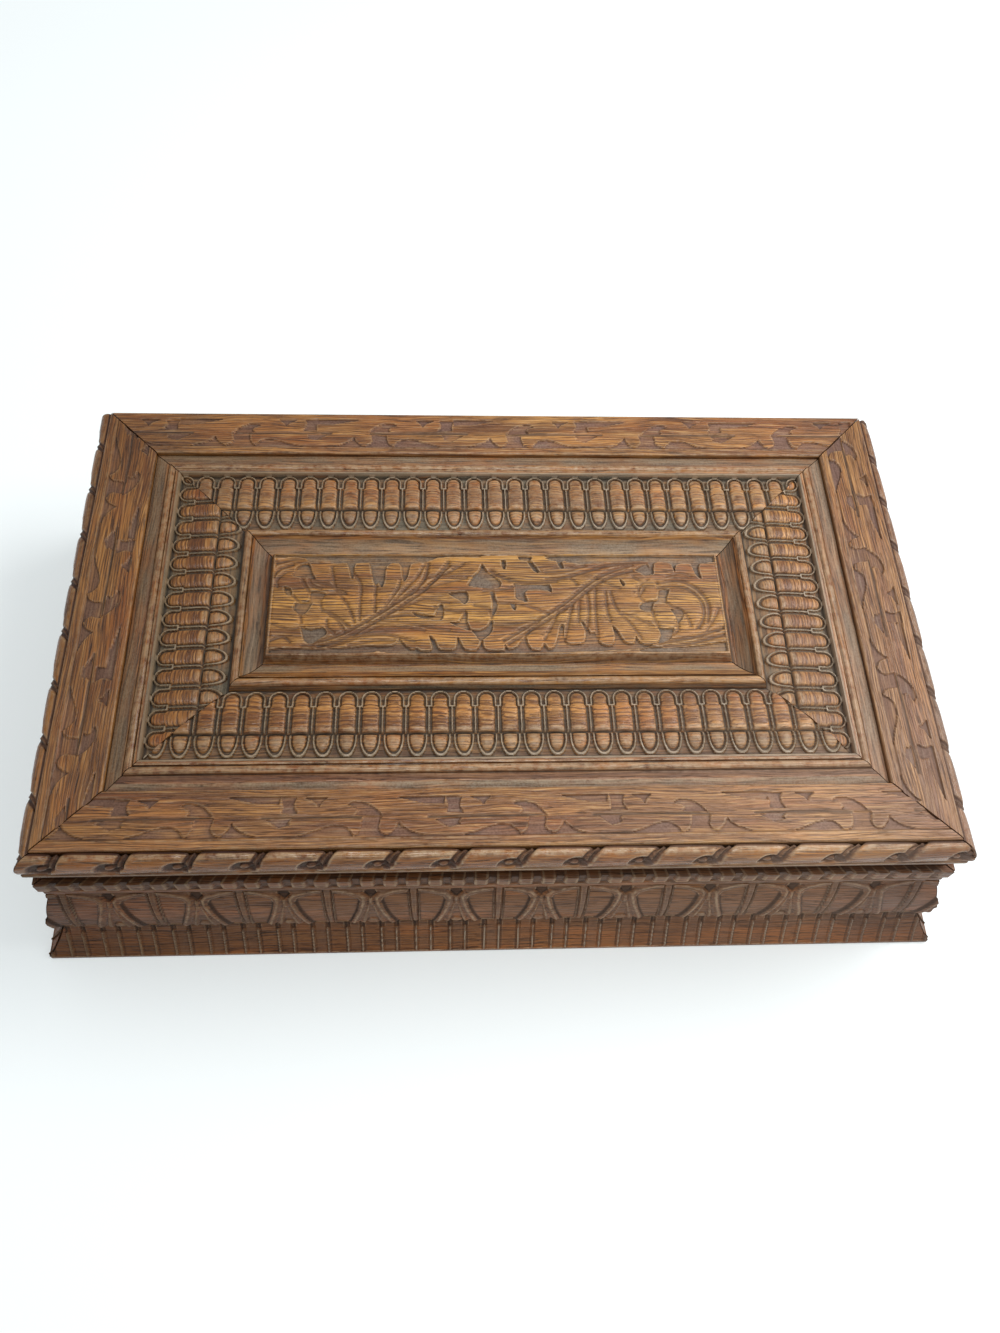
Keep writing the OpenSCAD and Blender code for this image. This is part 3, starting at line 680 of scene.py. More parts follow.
def make_tongue_band(side):
    """One side of the band: rounded tongues in arches, joined by thin ribs and cut across by a groove."""
    at_front = side == "front"
    pitch, half_w = chosen("tongue_pitch"), chosen("tongue_half")
    width = INNER_S - BAND_S
    lip = BAND_TOP - FRIEZE_Z
    reach = pitch / 2 - 0.92
    ground_sink, end_round, groove_sink = 1.35, 1.25, 0.95
    rng = np.random.default_rng(40 + SIDES.index(side))
    wander = rng.uniform(-0.22, 0.22, MANY)
    levels = rng.uniform(-0.22, 0.12, MANY)

    def carve(x, s, z):
        q = (s - BAND_S if at_front else INNER_S - s) * DRAWN_BAND / width
        n = np.floor((x - TONGUES[side] + pitch / 2) / pitch)
        i = np.clip(n.astype(int) + MANY // 2, 0, MANY - 1)
        xm = x - TONGUES[side] - n * pitch
        mid = xm - wander[i] * 0.6
        skin = np.interp(q, BAND_PLACES, BAND_HEIGHTS)
        if at_front:
            outer, light = smooth(q, 1.0, 1.4) * (1 - smooth(q, 30.6, 31.0)), q < 8
        else:
            outer, light = smooth(q, 0.2, 0.6) * (1 - smooth(q, 29.8, 30.2)), q > 20
        # a tongue is widest between the groove and the arches, and its rounded ends stand inside the arches
        middle_zone = smooth(q, GROOVE - 0.1, GROOVE + 0.3) * (1 - smooth(q, BAR - 0.5, BAR + 0.3))
        wide = half_w - 0.55 * (1 - middle_zone)
        drop = np.where(q > 17, np.maximum(q - TOP_END, 0) * 0.98, np.maximum(LOW_END - q, 0) * reach / 6.5)
        body = np.hypot(mid, drop)
        line_at = np.hypot(xm, drop)
        tongue = np.sqrt(np.clip(1 - (body / (wide * 1.05)) ** 2, 0, 1))
        on_tongue = 1 - smooth(body, wide - 0.25, wide + 0.15)
        # the thin ridges: the arches round the ends, the ribs between the tongues and the bars that join them
        in_arch = middle_zone < 0.5
        line = ridge_at(line_at, reach, 0.2, 0.5) * in_arch
        edge_far = pitch / 2 - np.abs(xm)
        rib = (1 - smooth(edge_far, 0.18, 0.45)) * ~in_arch
        bar = ridge_at(q, BAR, 0.25, 0.5) * (1 - smooth(edge_far, 1.0, 1.3))
        ridge = np.maximum(np.maximum(line, rib), bar)
        spandrel = smooth(line_at, reach + 0.3, reach + 0.6) * in_arch
        groove = ridge_at(q, GROOVE, 0.2, 0.5)
        raised = skin - ground_sink * (1 - on_tongue) - 0.1 * spandrel
        raised += (tongue - 1) * end_round * on_tongue + levels[i] * on_tongue * 0.5
        raised = raised * (1 - ridge) + (skin - 0.3) * ridge
        grooved = raised * (1 - groove) - groove_sink * groove
        raised = np.where(groove > 0, np.minimum(raised, grooved), raised)
        raised = raised * outer + lip * (1 - outer)
        stain = np.where(spandrel > 0.5, -0.6 if at_front else 1.0, -0.9 * (1 - on_tongue))
        stain = stain + 0.15 * (1 - smooth(q, 10.4, 11.0)) * on_tongue
        stain = np.where(groove > 0.5, -1.0, stain)
        stain = np.where(ridge > 0.5, 2.0 - 0.6 * groove, stain)
        # painted highlights: the swell just above the groove and the middle of the low ends are painted pale,
        # and all the back band's tongues a little
        crest_highlight = swell_at(q, 12.7, 1.2) + 0.9 * swell_at(q, 7.6, 2.4)
        crest_highlight *= (1 - (mid / wide) ** 2).clip(0, 1) * on_tongue
        if side == "back":
            crest_highlight = np.maximum(crest_highlight, 0.45 * on_tongue)
        return raised, np.where(outer > 0.5, stain, np.where(light, 1.65, 0.9)), crest_highlight

    dress = ("carved_lid_oak", "waxed_oak_tongues", "lid")
    face, back = [(BAND_S, FRIEZE_Z), (INNER_S, FRIEZE_Z)], [(INNER_S, BOARD_Z), (BAND_S, BOARD_Z)]
    carved_bar(
        "tongue_carving", "tongue_band", side, dress, face, back, carve, seed=21, cell=0.37, gap=(0.15, 0.15)
    )


class BOX_OT_tongue_bands(bpy.types.Operator):
    """Carves the wide band of upright tongues round the panel."""

    bl_idname = "oakbox.tongue_bands"
    bl_label = "Tongue bands"

    def execute(self, context):
        for side in SIDES:
            make_tongue_band(side)
        return {"FINISHED"}


# Carved panel

# The drawing's middle is this far behind the panel's, in millimetres
PANEL_BACK = 1.1
# Sunk ground of the panel, in outlines round the drawing's middle
PANEL_GROUND = [
    [(-92, 23.8), (-92, 21.2), (-84, 21.6), (-78, 21.0), (-70, 19.6), (-60, 19.0), (-50, 19.2),
     (-41, 19.4), (-30, 20.6), (-22, 21.4), (-14, 21.8), (-8, 21.6), (-6.6, 23.8)],
    [(-92, -22.6), (-84, -21.8), (-72, -22.2), (-60, -21.6), (-50, -20.8), (-50, -23.8), (-92, -23.8)],
    [(18, 23.8), (20, 21.8), (28, 20.4), (40, 20.6), (54, 20.2), (70, 20.0), (91, 19.6), (91, 23.8)],
    [(60, -21.8), (70, -22.0), (82, -21.0), (91, -19.6), (91, -23.8), (56, -23.8)],
    [(-80, 22.6), (-78, 19.5), (-74, 18.8), (-70, 19.2), (-66, 18.3), (-62, 18.6), (-60.6, 14),
     (-59.5, 10.5), (-59, 14), (-58.6, 18.2), (-54, 18.6), (-52.5, 18), (-51.4, 12), (-50.3, 8),
     (-48.8, 9), (-47.5, 6.5), (-46.4, 10), (-45.8, 17), (-42, 18.4), (-39.6, 17), (-38.8, 9.5), (-37, 12),
     (-36, 17.8), (-33, 18.6), (-29, 19.3), (-28, 22.6)],
    [(-84, 13), (-82, 16.5), (-77.6, 18.2), (-76, 13.5), (-74.5, 10.5), (-78, 11.5), (-83, 12)],
    [(-76.2, 4.6), (-70, 3.8), (-73.2, -0.6), (-76, 0.2)],
    [(-82, -1), (-77, -0.6), (-74.8, 0.6), (-76.8, -4.6), (-79, -6.2), (-82.4, -4)],
    [(-79.5, -11.6), (-75, -13.4), (-70.4, -12.4), (-68.8, -15.2), (-71.6, -17.4), (-74.6, -19.6),
     (-77.4, -18.4), (-78.2, -15)],
    [(-87, 6.8), (-84.4, 5.8), (-83.6, 3), (-86, 3.2)],
    [(-20.4, 3.4), (-13.2, 4.2), (-12.4, 0.4), (-14, -1.6), (-15.6, 0.2), (-17.6, 1.4)],
    [(-35, -5.4), (-30, -6.6), (-26, -7), (-24.4, -2.4), (-22.8, -1.8), (-22.4, -6.6), (-23.6, -9.2),
     (-29, -8.6), (-33, -7.4)],
    [(-19.6, -10.4), (-16, -9.8), (-14.2, -5.4), (-12.8, -5.8), (-13, -10), (-11.6, -14), (-14.4, -13),
     (-17, -11.8)],
    [(-12.6, 7.4), (-10, 12), (-7.6, 14.4), (-6.4, 18), (-4.6, 14.6), (0.4, 10.2), (0.6, 6.6), (-6, 6.2)],
    [(-11.6, -13.6), (-8, -14), (-4.6, -12), (-3.6, -9.4), (-2.6, -10.2), (-3.2, -14.4), (-5.4, -17),
     (-8, -18.6), (-9.6, -16)],
    [(-3.6, 4.6), (-2, 5), (-1.4, 1), (-0.4, -1.6), (-2, -6.5), (-3, -6), (-2.4, -1)],
    [(-50, -21), (-44, -21), (-41.4, -20), (-40, -17.2), (-38.6, -19.6), (-35.4, -22.6), (-33, -22.2),
     (-31.6, -23.2), (-28.4, -23.4), (-26.6, -22), (-28.2, -16.4), (-25.8, -18.6), (-24.6, -22.2),
     (-21.6, -23.2), (-17.4, -22.4), (-17, -17), (-15.2, -20.6), (-14, -22.8), (-9.6, -23.2), (-8, -20.6),
     (-7, -18.4), (-6.4, -22.2), (-3.6, -23.4), (1.8, -23.2), (1.8, -20.4), (3.4, -22.8), (7, -21.4),
     (10, -16.2), (11, -20), (12.6, -22.8), (16, -23.2), (17.6, -20.2), (19.2, -22.8), (21.8, -21.6),
     (23.6, -16), (24.6, -11.8), (26, -12), (25.6, -17), (27, -20), (30, -20.4), (33.6, -20),
     (34.6, -14.6), (33, -9.6), (35.4, -12.4), (36.4, -15.4), (38.4, -15), (39.6, -19.2), (42, -21.2),
     (45, -21), (46.4, -17), (45.6, -12), (48, -15.4), (50, -19.6), (53.6, -20.4), (54.8, -17),
     (56, -19.6), (58.6, -21), (61, -21), (56, -22.6), (44, -23.4), (30, -23.8), (0, -24.4), (-36, -24.4),
     (-50, -23)],
    [(28, 19.4), (34, 18.2), (42, 18.8), (50, 19.2), (56, 19.4), (63, 19.2), (63.6, 13.4), (64.8, 13.2),
     (65.4, 18.4), (69, 19), (72.8, 18), (73.8, 14), (74.6, 17.6), (79, 18.4), (81.2, 17.8), (82.4, 13),
     (84.6, 10.6), (84, 14.6), (84.8, 18.2), (90, 18.8), (92, 22.0), (24, 22.2), (25, 19.2)],
    [(57, 15.2), (62.6, 18.2), (64, 13.6), (61.6, 12.2), (59.4, 13.6)],
    [(1.6, 19.6), (3.4, 19.4), (3, 15.2), (2, 16.4)], [(12.4, 19.4), (14.2, 19), (17.2, 13.8), (15, 14.6)],
    [(8.6, 22), (14, 21.6), (13.4, 19.6), (9.4, 20)], [(24.8, 19.2), (26.4, 19), (27.4, 16), (26, 16.2)],
    [(6.4, 8.4), (14, 8), (21, 7.6), (21.6, 3.8), (20.2, 5), (12, 5.2), (10.8, 2.6), (11.8, -0.4),
     (9.4, 0.2), (7, 1.4), (7.2, 5)],
    [(4.6, -0.8), (6.8, -1.4), (6.6, -4.6), (5.2, -3)],
    [(65.6, 2.2), (66.8, 5.4), (70.4, 5.2), (69.2, 2), (68.6, -1.2), (63.4, -1), (62.4, -4.8),
     (58.4, -4.6), (57.6, -2.8), (60, -0.4), (65, 0.2)],
    [(70.2, -4.4), (74.6, -4), (75.4, -6.6), (72.8, -10.8), (71.8, -7.4)],
    [(64.2, -12.6), (66.8, -13.6), (70.4, -13.2), (69.6, -16.2), (68, -18.6), (63.6, -19.8), (65, -16.4)],
    [(50.2, 10.6), (52.4, 8), (51.4, 7.2)],
]
# The leaves' stems, cut as pairs of deep lines
PANEL_STEMS = [
    [(-75, -19.6), (-66, -16.8), (-57, -11.8), (-49, -6.4), (-41, -0.4), (-34, 5.4), (-30, 11),
     (-28.6, 18)],
    [(-72, -21), (-63, -18), (-54, -12.6), (-45.6, -6.8), (-38, -1.2), (-30.6, 5), (-25, 11.6),
     (-20.4, 18.6)],
    [(1.6, -18.6), (8, -14.4), (15, -9.6), (22, -4.8), (29, 0.6), (35, 6.2), (41, 11), (48, 14.6),
     (56, 17.6)],
    [(3.6, -20), (10, -15.8), (17, -10.8), (24, -6), (30.6, -0.6), (36.6, 4.8), (42.4, 9.2), (49, 12.6),
     (56, 14.8)],
    [(20, 9.8), (28, 11.4), (36, 14), (46, 17.2), (56, 18.6), (63, 19)],
    [(-3, 14.4), (2, 11.2), (8, 9.4), (15, 8.9), (24, 9.4)],
    [(66, 6.4), (72, 7.2), (78, 5.6), (82.4, 1.4), (84, -4), (83, -9), (80.6, -13)],
    [(66, 8.4), (74, 9.6), (80, 7.4), (84.4, 2.4), (86, -3), (85, -10)],
    [(64, -20), (72, -18.6), (80, -16.8), (91, -13)], [(66, -21.6), (76, -20.4), (84, -18.2), (91, -16)],
    [(-92, 12), (-89, 15.6), (-84, 17.8)], [(-90.4, 18.4), (-84, 20.2), (-78, 20.6)],
]
# The veins of their lobes, cut as single fine lines
PANEL_VEINS = [
    [(-68, -21.4), (-58, -17.6), (-50, -12.4), (-41, -9)], [(-60, -20.6), (-50, -18.6), (-42, -18.4)],
    [(-58, -10), (-61, -2), (-66, 6), (-68, 16)], [(-56, -9), (-56, 0), (-56, 8), (-60, 15)],
    [(-50, -5), (-50, 2), (-49.8, 8)], [(-46, -3), (-41, 6), (-40, 10)],
    [(-44, -2), (-37, 7), (-33, 12), (-30, 18)], [(-36, 3), (-27, 9), (-20, 17)],
    [(-34, 4), (-24, 8), (-13, 11)], [(-40, -4), (-30, 1), (-20, -1)],
    [(-46, -8), (-38, -6.6), (-34, -6.8)], [(-60, -12), (-66, -6.8), (-70.5, -4.6)],
    [(-71, -4.6), (-72, 0), (-69, 3.4), (-63, 3.8)], [(-62, -14), (-64.6, -9), (-68, -6.4)],
    [(-66, -15), (-68.6, -12.4), (-69, -9)], [(-92, -10), (-84, -13), (-78, -12)],
    [(-91, -18.6), (-86, -16.6), (-83, -19)], [(-79, -10), (-80, -5)], [(-83, 2.6), (-80, -1)],
    [(-76.6, 4.2), (-79, 8.4), (-80, 11)], [(-72, 5.6), (-76, 8), (-77, 12)],
    [(-89.6, 6.8), (-90, 10), (-87, 13.6), (-84, 14.6)], [(-62, 3.6), (-67, 7), (-75, 9.6)],
    [(-53, -10), (-44, -11), (-30, -14)], [(-48, -9), (-36, -10.6), (-20, -14)],
    [(-58, -16), (-46, -15.6), (-34, -19)], [(-78, -20.6), (-66, -20), (-56, -16)],
    [(-30, 11), (-22, 13), (-14, 18)], [(-26, -3), (-18, -5), (-14, -5)],
    [(30, -2), (28.4, -8), (27, -14), (26, -18)], [(33, 0), (32.4, -6), (32, -10)],
    [(36.4, 4), (36.6, -4), (35.6, -12)], [(40, 6), (39.4, -2), (39.2, -12), (39.4, -18)],
    [(44, 4), (44, -4), (45, -10)], [(46, 4), (48, -4), (53, -11), (57, -18)],
    [(50, -6), (56, -8.6), (62, -12)], [(62.6, -5), (63, -9), (64.4, -12.6)],
    [(20, -6), (10, -2), (0, -1.2)], [(14, -9.4), (6, -11), (-2, -11.6)], [(24, -5), (22, -10), (18, -18)],
    [(16, -9.8), (12, -14), (10.6, -16)], [(41, 11), (46, 8), (50, 6)],
    [(69, -1), (71, -3), (75, -5), (77, -9), (77.6, -12)], [(72.4, -10), (72.2, -14), (70, -16)],
    [(90, -4), (88, -8), (84, -14)], [(60, 5.4), (58, 2), (59.6, -0.4)], [(62, 10), (58.4, 7), (57.6, 2)],
    [(30, 11), (31.6, 9.2), (32.4, 8)], [(56, 11.4), (60, 9), (66, 9)], [(70, 12), (76, 13.4), (80, 12)],
    [(20, 14), (28, 14.6), (36, 17)], [(6, 6.4), (0, 5), (-6, 4.8)], [(-10, -2), (-4, -4), (-3, -8)],
]


def make_panel():
    """The raised panel: two sprays of leaves left standing in sunk ground, inside a bevelled edge."""
    half_l, half_w = (PANEL_HI[0] - PANEL_LO[0]) / 2, (PANEL_HI[1] - PANEL_LO[1]) / 2
    top, foot, bevel, rim = PANEL_HI[2], FRIEZE_Z - 2, 2.0, 0.5
    stem_sink, vein_sink, swell_sink, rim_sink = 0.7, 0.5, 0.3, 0.25
    # its veins are the finest carving, so its grid is finer than the others
    cell = chosen("cell") * 0.8
    x, y = np.meshgrid(*(np.linspace(-half, half, int(2 * half / cell) + 1) for half in (half_l, half_w)))
    within = np.minimum(half_l - np.abs(x), half_w - np.abs(y))
    px, py = x, y - PANEL_BACK
    ground = sunk(px, py, [curved(g + g[:1], 2)[:-1] for g in PANEL_GROUND], 0.45)
    field = smooth(within, bevel + rim - 0.3, bevel + rim + 0.2)
    stem_lines, vein_lines = ([curved(line) for line in lines] for lines in (PANEL_STEMS, PANEL_VEINS))
    stems = beside(px, py, stem_lines, 1.5)
    veins = beside(px, py, vein_lines, 1.2)
    leaf = -swell_sink * beside(px, py, stem_lines + vein_lines, 3.4) - stem_sink * stems - vein_sink * veins
    raised = field * (leaf * (1 - ground) - chosen("panel_sink") * ground)
    raised -= rim_sink * ridge_at(within, bevel + rim, 0.1, 0.5)
    z = top + raised - (top - foot) * (1 - smooth(within, 0.0, bevel) ** 0.8)
    flat = np.stack([x, y, z], -1)
    arris = ridge_at(within, bevel + 0.2, 0.2, 0.6)
    on_bevel = 1 - smooth(within, bevel - 0.4, bevel - 0.1)
    # painted light: the front bevel gets a painted highlight and the left bevel painted shade
    at_front = on_bevel * (half_w + y < bevel) * (half_w + y < half_l - np.abs(x))
    left_bevel_shade = on_bevel * (half_l + x < bevel) * (half_l + x < half_w - np.abs(y))
    dark_lines = 0.85 * np.maximum(stems, 0.8 * veins) ** 1.5
    stain = np.where(ground > 0.5, ground, -dark_lines) * field - 0.45 * left_bevel_shade
    facts = marks(flat, np.maximum(arris, 0.8 * at_front), stain)
    facts["grain"] = flat + np.array([900, 300, 0])
    obj = carved_grid("leaf_panel", (flat + np.array([0, MID_Y, 0])) * MM, facts, False)

    def close():
        bpy.ops.mesh.select_all(action="DESELECT")
        bpy.ops.mesh.select_non_manifold()
        bpy.ops.mesh.extrude_region_move(TRANSFORM_OT_translate={"value": (0, 0, (BOARD_Z - foot) * MM)})
        bpy.ops.mesh.fill_holes(sides=0)
        bpy.ops.mesh.edge_face_add()
        bpy.ops.mesh.select_all(action="SELECT")
        bpy.ops.mesh.normals_make_consistent(inside=False)

    in_edit(obj, close)
    finish_piece(obj, ("carved_lid_oak", "waxed_oak_panel", "lid"), "lid_panel")


class BOX_OT_panel(bpy.types.Operator):
    """Carves the raised panel with its two leaf sprays."""

    bl_idname = "oakbox.panel"
    bl_label = "Leaf panel"

    def execute(self, context):
        make_panel()
        return {"FINISHED"}


# Body mouldings

BODY_DRESS = ("box_moulding_oak", "shaded_oak_body", "box")


def body_bar(name, node, side, face, top, low, carve, seed, cell=None, gap=(None, None)):
    """One moulding of the box's body, square where it ends at the back."""
    back = [(0, top), (0, low)]
    carved_bar(name, node, side, BODY_DRESS, face, back, carve, seed, cell, gap, square=open_ends(side))


def make_dentils(side):
    """The strip under the lid: square teeth with rounded notches between them."""
    top, low = STRIP_HI[2], STRIP_LO[2]
    reach = FRONT_Y - STRIP_LO[1] - 1.2
    # the height of the teeth's foot, and how far the fillet and the face under it stand out
    dz, fillet, foot = top - 7.2, 4.6, 4.2
    pitch, tooth_half = chosen("dentil_pitch"), 2.75
    face = [(-foot, low), (-foot, dz - 5.2), (-fillet, dz - 4.6), (-fillet, dz - 2.6)]
    face += [(-reach, dz - 1.6), (-reach, top)]

    def carve(x, s, z):
        xm = repeat_of(x, 0, pitch)
        wide = tooth_half - 0.5 * smooth(z, dz + 1.5, dz)
        tooth = (1 - smooth(np.abs(xm), wide - 0.25, wide + 0.2)) * smooth(z, dz - 0.3, dz + 0.3)
        corner = np.hypot(np.abs(xm) - pitch / 2, (z - dz) * 0.8)
        notch = (1 - smooth(corner, 1.4, 1.8)) * smooth(z, dz - 2.2, dz - 1.5)
        gap = (1 - tooth) * smooth(z, dz - 2.2, dz - 1.4)
        # painted shade: the top of the strip is painted darker, as shade under the lid
        return 1.1 * tooth - 0.4 * notch, -0.5 * gap - 0.35 * smooth(z, top - 3, top - 0.5), 0.3 * tooth

    body_bar("dentil_carving", "dentil_strip", side, face, top, low, carve, seed=31, cell=0.5)


# The leaf is drawn on a repeat this long and a moulding this high, in millimetres. Half of it is given, as
# distances from its middle vein and parts of the height, 0 at the top.
LEAF_REPEAT, LEAF_HEIGHT = 33.6, 27.0
LEAF_FIELD = [(2.3, 0.06), (7.5, 0.1), (11.6, 0.16), (12.3, 0.23), (11.2, 0.42), (9.6, 0.62), (7.9, 0.82),
              (7.2, 0.97), (1.9, 0.97)]
LEAF_RIDGE = [(1.5, -0.01), (7.5, 0.035), (12.6, 0.09), (14.2, 0.16), (13.9, 0.27), (12.4, 0.48),
              (10.6, 0.68), (9.3, 0.86), (9.0, 1.02)]
LEAF_GROOVE = [(13.4, 0.04), (15.8, 0.15), (15.7, 0.28), (14.2, 0.5), (12.5, 0.7), (11.4, 0.86), (11.2, 1.02)]
LEAF_OUTLINE = [(16.4, 0.2), (16.4, 0.33), (15.4, 0.52), (14.2, 0.7), (13.3, 0.88), (13.2, 1.02)]
# Between two leaves: the crown at the top and the dart with its bud, in millimetres on the same drawing
CROWN = [(15.0, -0.5), (14.4, 2.2), (16.8, 4.8), (19.2, 2.2), (18.6, -0.5)]
DART = [(16.0, 9), (15.0, 16), (13.9, 24), (13.6, 28), (20, 28), (19.7, 24), (18.6, 16), (17.6, 9)]
BUD_AT, BUD_SIZE = (16.8, 23.6), (2.6, 3.0)


def make_leaf_moulding(side):
    """The swelling moulding of broad leaves, with a crown, a dart and a bud between each two."""
    low, top = LEAF_LO[2], LEAF_HI[2]
    reach = FRONT_Y - LEAF_LO[1] - 0.5
    top_reach, belly, tuck = 4.2, low + 5, 1.25

    def out(z):
        if z > belly:
            return reach - (reach - top_reach) * ((z - belly) / (top - belly)) ** 2
        return reach - tuck * ((belly - z) / 5) ** 2

    pitch = chosen("leaf_pitch")
    middle = -1.2 if side == "front" else 0.0
    lean = np.random.default_rng(60 + SIDES.index(side)).uniform(-0.5, 0.5, 40)
    lines = (LEAF_FIELD, LEAF_RIDGE, LEAF_GROOVE, LEAF_OUTLINE)
    field_line, ridge_line, groove_line, outline_line = (
        [(across, down * LEAF_HEIGHT) for across, down in line] for line in lines
    )

    def carve(x, s, z):
        n = np.floor((x - middle + pitch / 2) / pitch)
        i = np.clip(n.astype(int) + 20, 0, 39)
        v = (top - z) / (top - low)
        u = np.abs(x - middle - n * pitch + lean[i] * v) * LEAF_REPEAT / pitch
        w = v * LEAF_HEIGHT
        field = sunk(u, w, [field_line], 0.5)
        ridge = beside(u, w, [ridge_line], 1.1)
        groove = beside(u, w, [groove_line], 1.0)
        outline = beside(u, w, [outline_line], 0.9)
        vein = 1 - smooth(u, 0.9 - 0.5 * v, 1.3 - 0.5 * v)
        beside_vein = ridge_at(u, 1.6 - 0.6 * v, 0.1, 0.6)
        crown = sunk(u, w, [CROWN], 0.6)
        dart = sunk(u, w, [DART], 0.8)
        bud = ((u - BUD_AT[0]) / BUD_SIZE[0]) ** 2 + ((w - BUD_AT[1]) / BUD_SIZE[1]) ** 2
        bud = np.sqrt(np.clip(1 - bud, 0, 1))
        raised = 0.45 * ridge + 0.25 * outline - 0.75 * (field + beside_vein) - 0.5 * groove - 0.2 * vein
        raised += bud - 0.9 * (crown + dart)
        raised -= 0.9 * smooth(w, LEAF_HEIGHT - 0.8, LEAF_HEIGHT) * (0.35 + 0.65 * np.clip(1 - field, 0, 1))
        rim = beside(u, w, [field_line + field_line[:1]], 0.55) * (u > 1)
        outer_rim = beside(u, w, [field_line[3:8]], 1.15)
        dark = 0.6 * groove + 0.9 * crown + 0.7 * beside_vein + 0.85 * (rim + outer_rim)
        dark += 0.4 * dart * (bud < 0.2)
        # the ridges and buds are rubbed pale, and the rim at the leaves' foot gets a painted highlight
        foot = smooth(w, 24.9, 25.9)
        high = np.clip(0.55 * ridge * (ridge > 0.55) + 0.4 * bud + 0.6 * foot * (1 - outer_rim), 0, 1)
        silt = np.where(rim + outer_rim + crown + beside_vein > 0.3, 0, 0.65 * (1 - field) + 0.2 * vein)
        return raised, np.where(high > 0.4, 0.15, silt - np.clip(dark, 0, 1)), high

    face = [(-out(z), z) for z in np.linspace(low, top, 40)]
    body_bar("leaf_carving", "leaf_moulding", side, face, top, low, carve, seed=35, cell=0.44)


def make_plinth(side):
    """The base: pairs of thin ribs that run down a hollow, over a plain foot."""
    low, top = PLINTH_LO[2], PLINTH_HI[2]
    rib_high = 0.8
    reach, top_reach, foot = FRONT_Y - PLINTH_LO[1] - rib_high, 7.2, 1.6
    face = [(-reach, low), (-reach, low + foot)]
    for t in np.linspace(0.02, 1, 24):
        face.append((-(top_reach + (reach - top_reach) * (1 - t) ** 1.3), foot + (top - foot) * t))
    pitch = chosen("rib_pitch")
    half_pair = pitch * 0.43 / 2
    middle = -3.0 if side == "front" else 0.0

    def carve(x, s, z):
        off = np.abs(repeat_of(x, middle, pitch))
        far = np.abs(off - half_pair)
        notch = (1 - smooth(far, 0.6, 1.1)) * smooth(z, top - 6.8, top - 5.6)
        ribs = (1 - smooth(far, 0.2, 0.45)) * (1 - notch)
        beside_rib = ridge_at(far, 0.8, 0.1, 0.5) * (1 - ribs)
        up = smooth(z, low + foot, low + foot + 0.6)
        in_pair = off < half_pair
        hollow = 1 - np.where(in_pair, off / half_pair, (off - pitch / 2) / (pitch / 2 - half_pair)) ** 2
        raised = (0.62 * ribs - 0.25 * beside_rib - 0.3 * notch - 0.35 * np.clip(hollow, 0, 1)) * up
        # painted shadow of the leaf moulding: the notches at the ribs' tops and the band just under the
        # moulding are painted darker
        shade_under = smooth(z, top - 6, top - 1)
        flat = 0.35 * in_pair - np.clip(0.7 * beside_rib + 0.85 * notch, 0, 1) - 0.3 * shade_under
        return raised, np.where(ribs * up > 0.5, 1.9, flat * up), 0 * off

    # the plinth's front mitres stand a little open
    gap = {"front": (0.75, None), "left": (None, 0.5), "right": (None, None)}[side]
    body_bar("rib_carving", "plinth", side, face, top, low, carve, seed=39, gap=gap)


class BOX_OT_body_mouldings(bpy.types.Operator):
    """Carves the dentils, the leaf moulding and the ribbed base on three sides of the box."""

    bl_idname = "oakbox.body_mouldings"
    bl_label = "Body mouldings"

    def execute(self, context):
        for side in BOX_SIDES:
            make_dentils(side)
            make_leaf_moulding(side)
            make_plinth(side)
        return {"FINISHED"}


# Materials


def add(tree, kind, inputs=None, stops=None, **settings):
    """Adds one node with its settings, its input values or links, and the stops of its colour ramp."""
    n = tree.nodes.new(kind)
    for key, value in settings.items():
        setattr(n, key, value)
    for key, value in (inputs or {}).items():
        if isinstance(value, bpy.types.NodeSocket):
            tree.links.new(value, n.inputs[key])
        else:
            n.inputs[key].default_value = value
    if stops:
        ramp = n.color_ramp.elements
        while len(ramp) < len(stops):
            ramp.new(0.5)
        for element, (at, value) in zip(ramp, stops):
            element.position = at
            element.color = paint(value) if isinstance(value, str) else value
    return n


def fresh_material(name):
    """A new material and its empty node tree."""
    mat = bpy.data.materials.new(name)
    mat.use_nodes = True
    mat.node_tree.nodes.clear()
    return mat, mat.node_tree


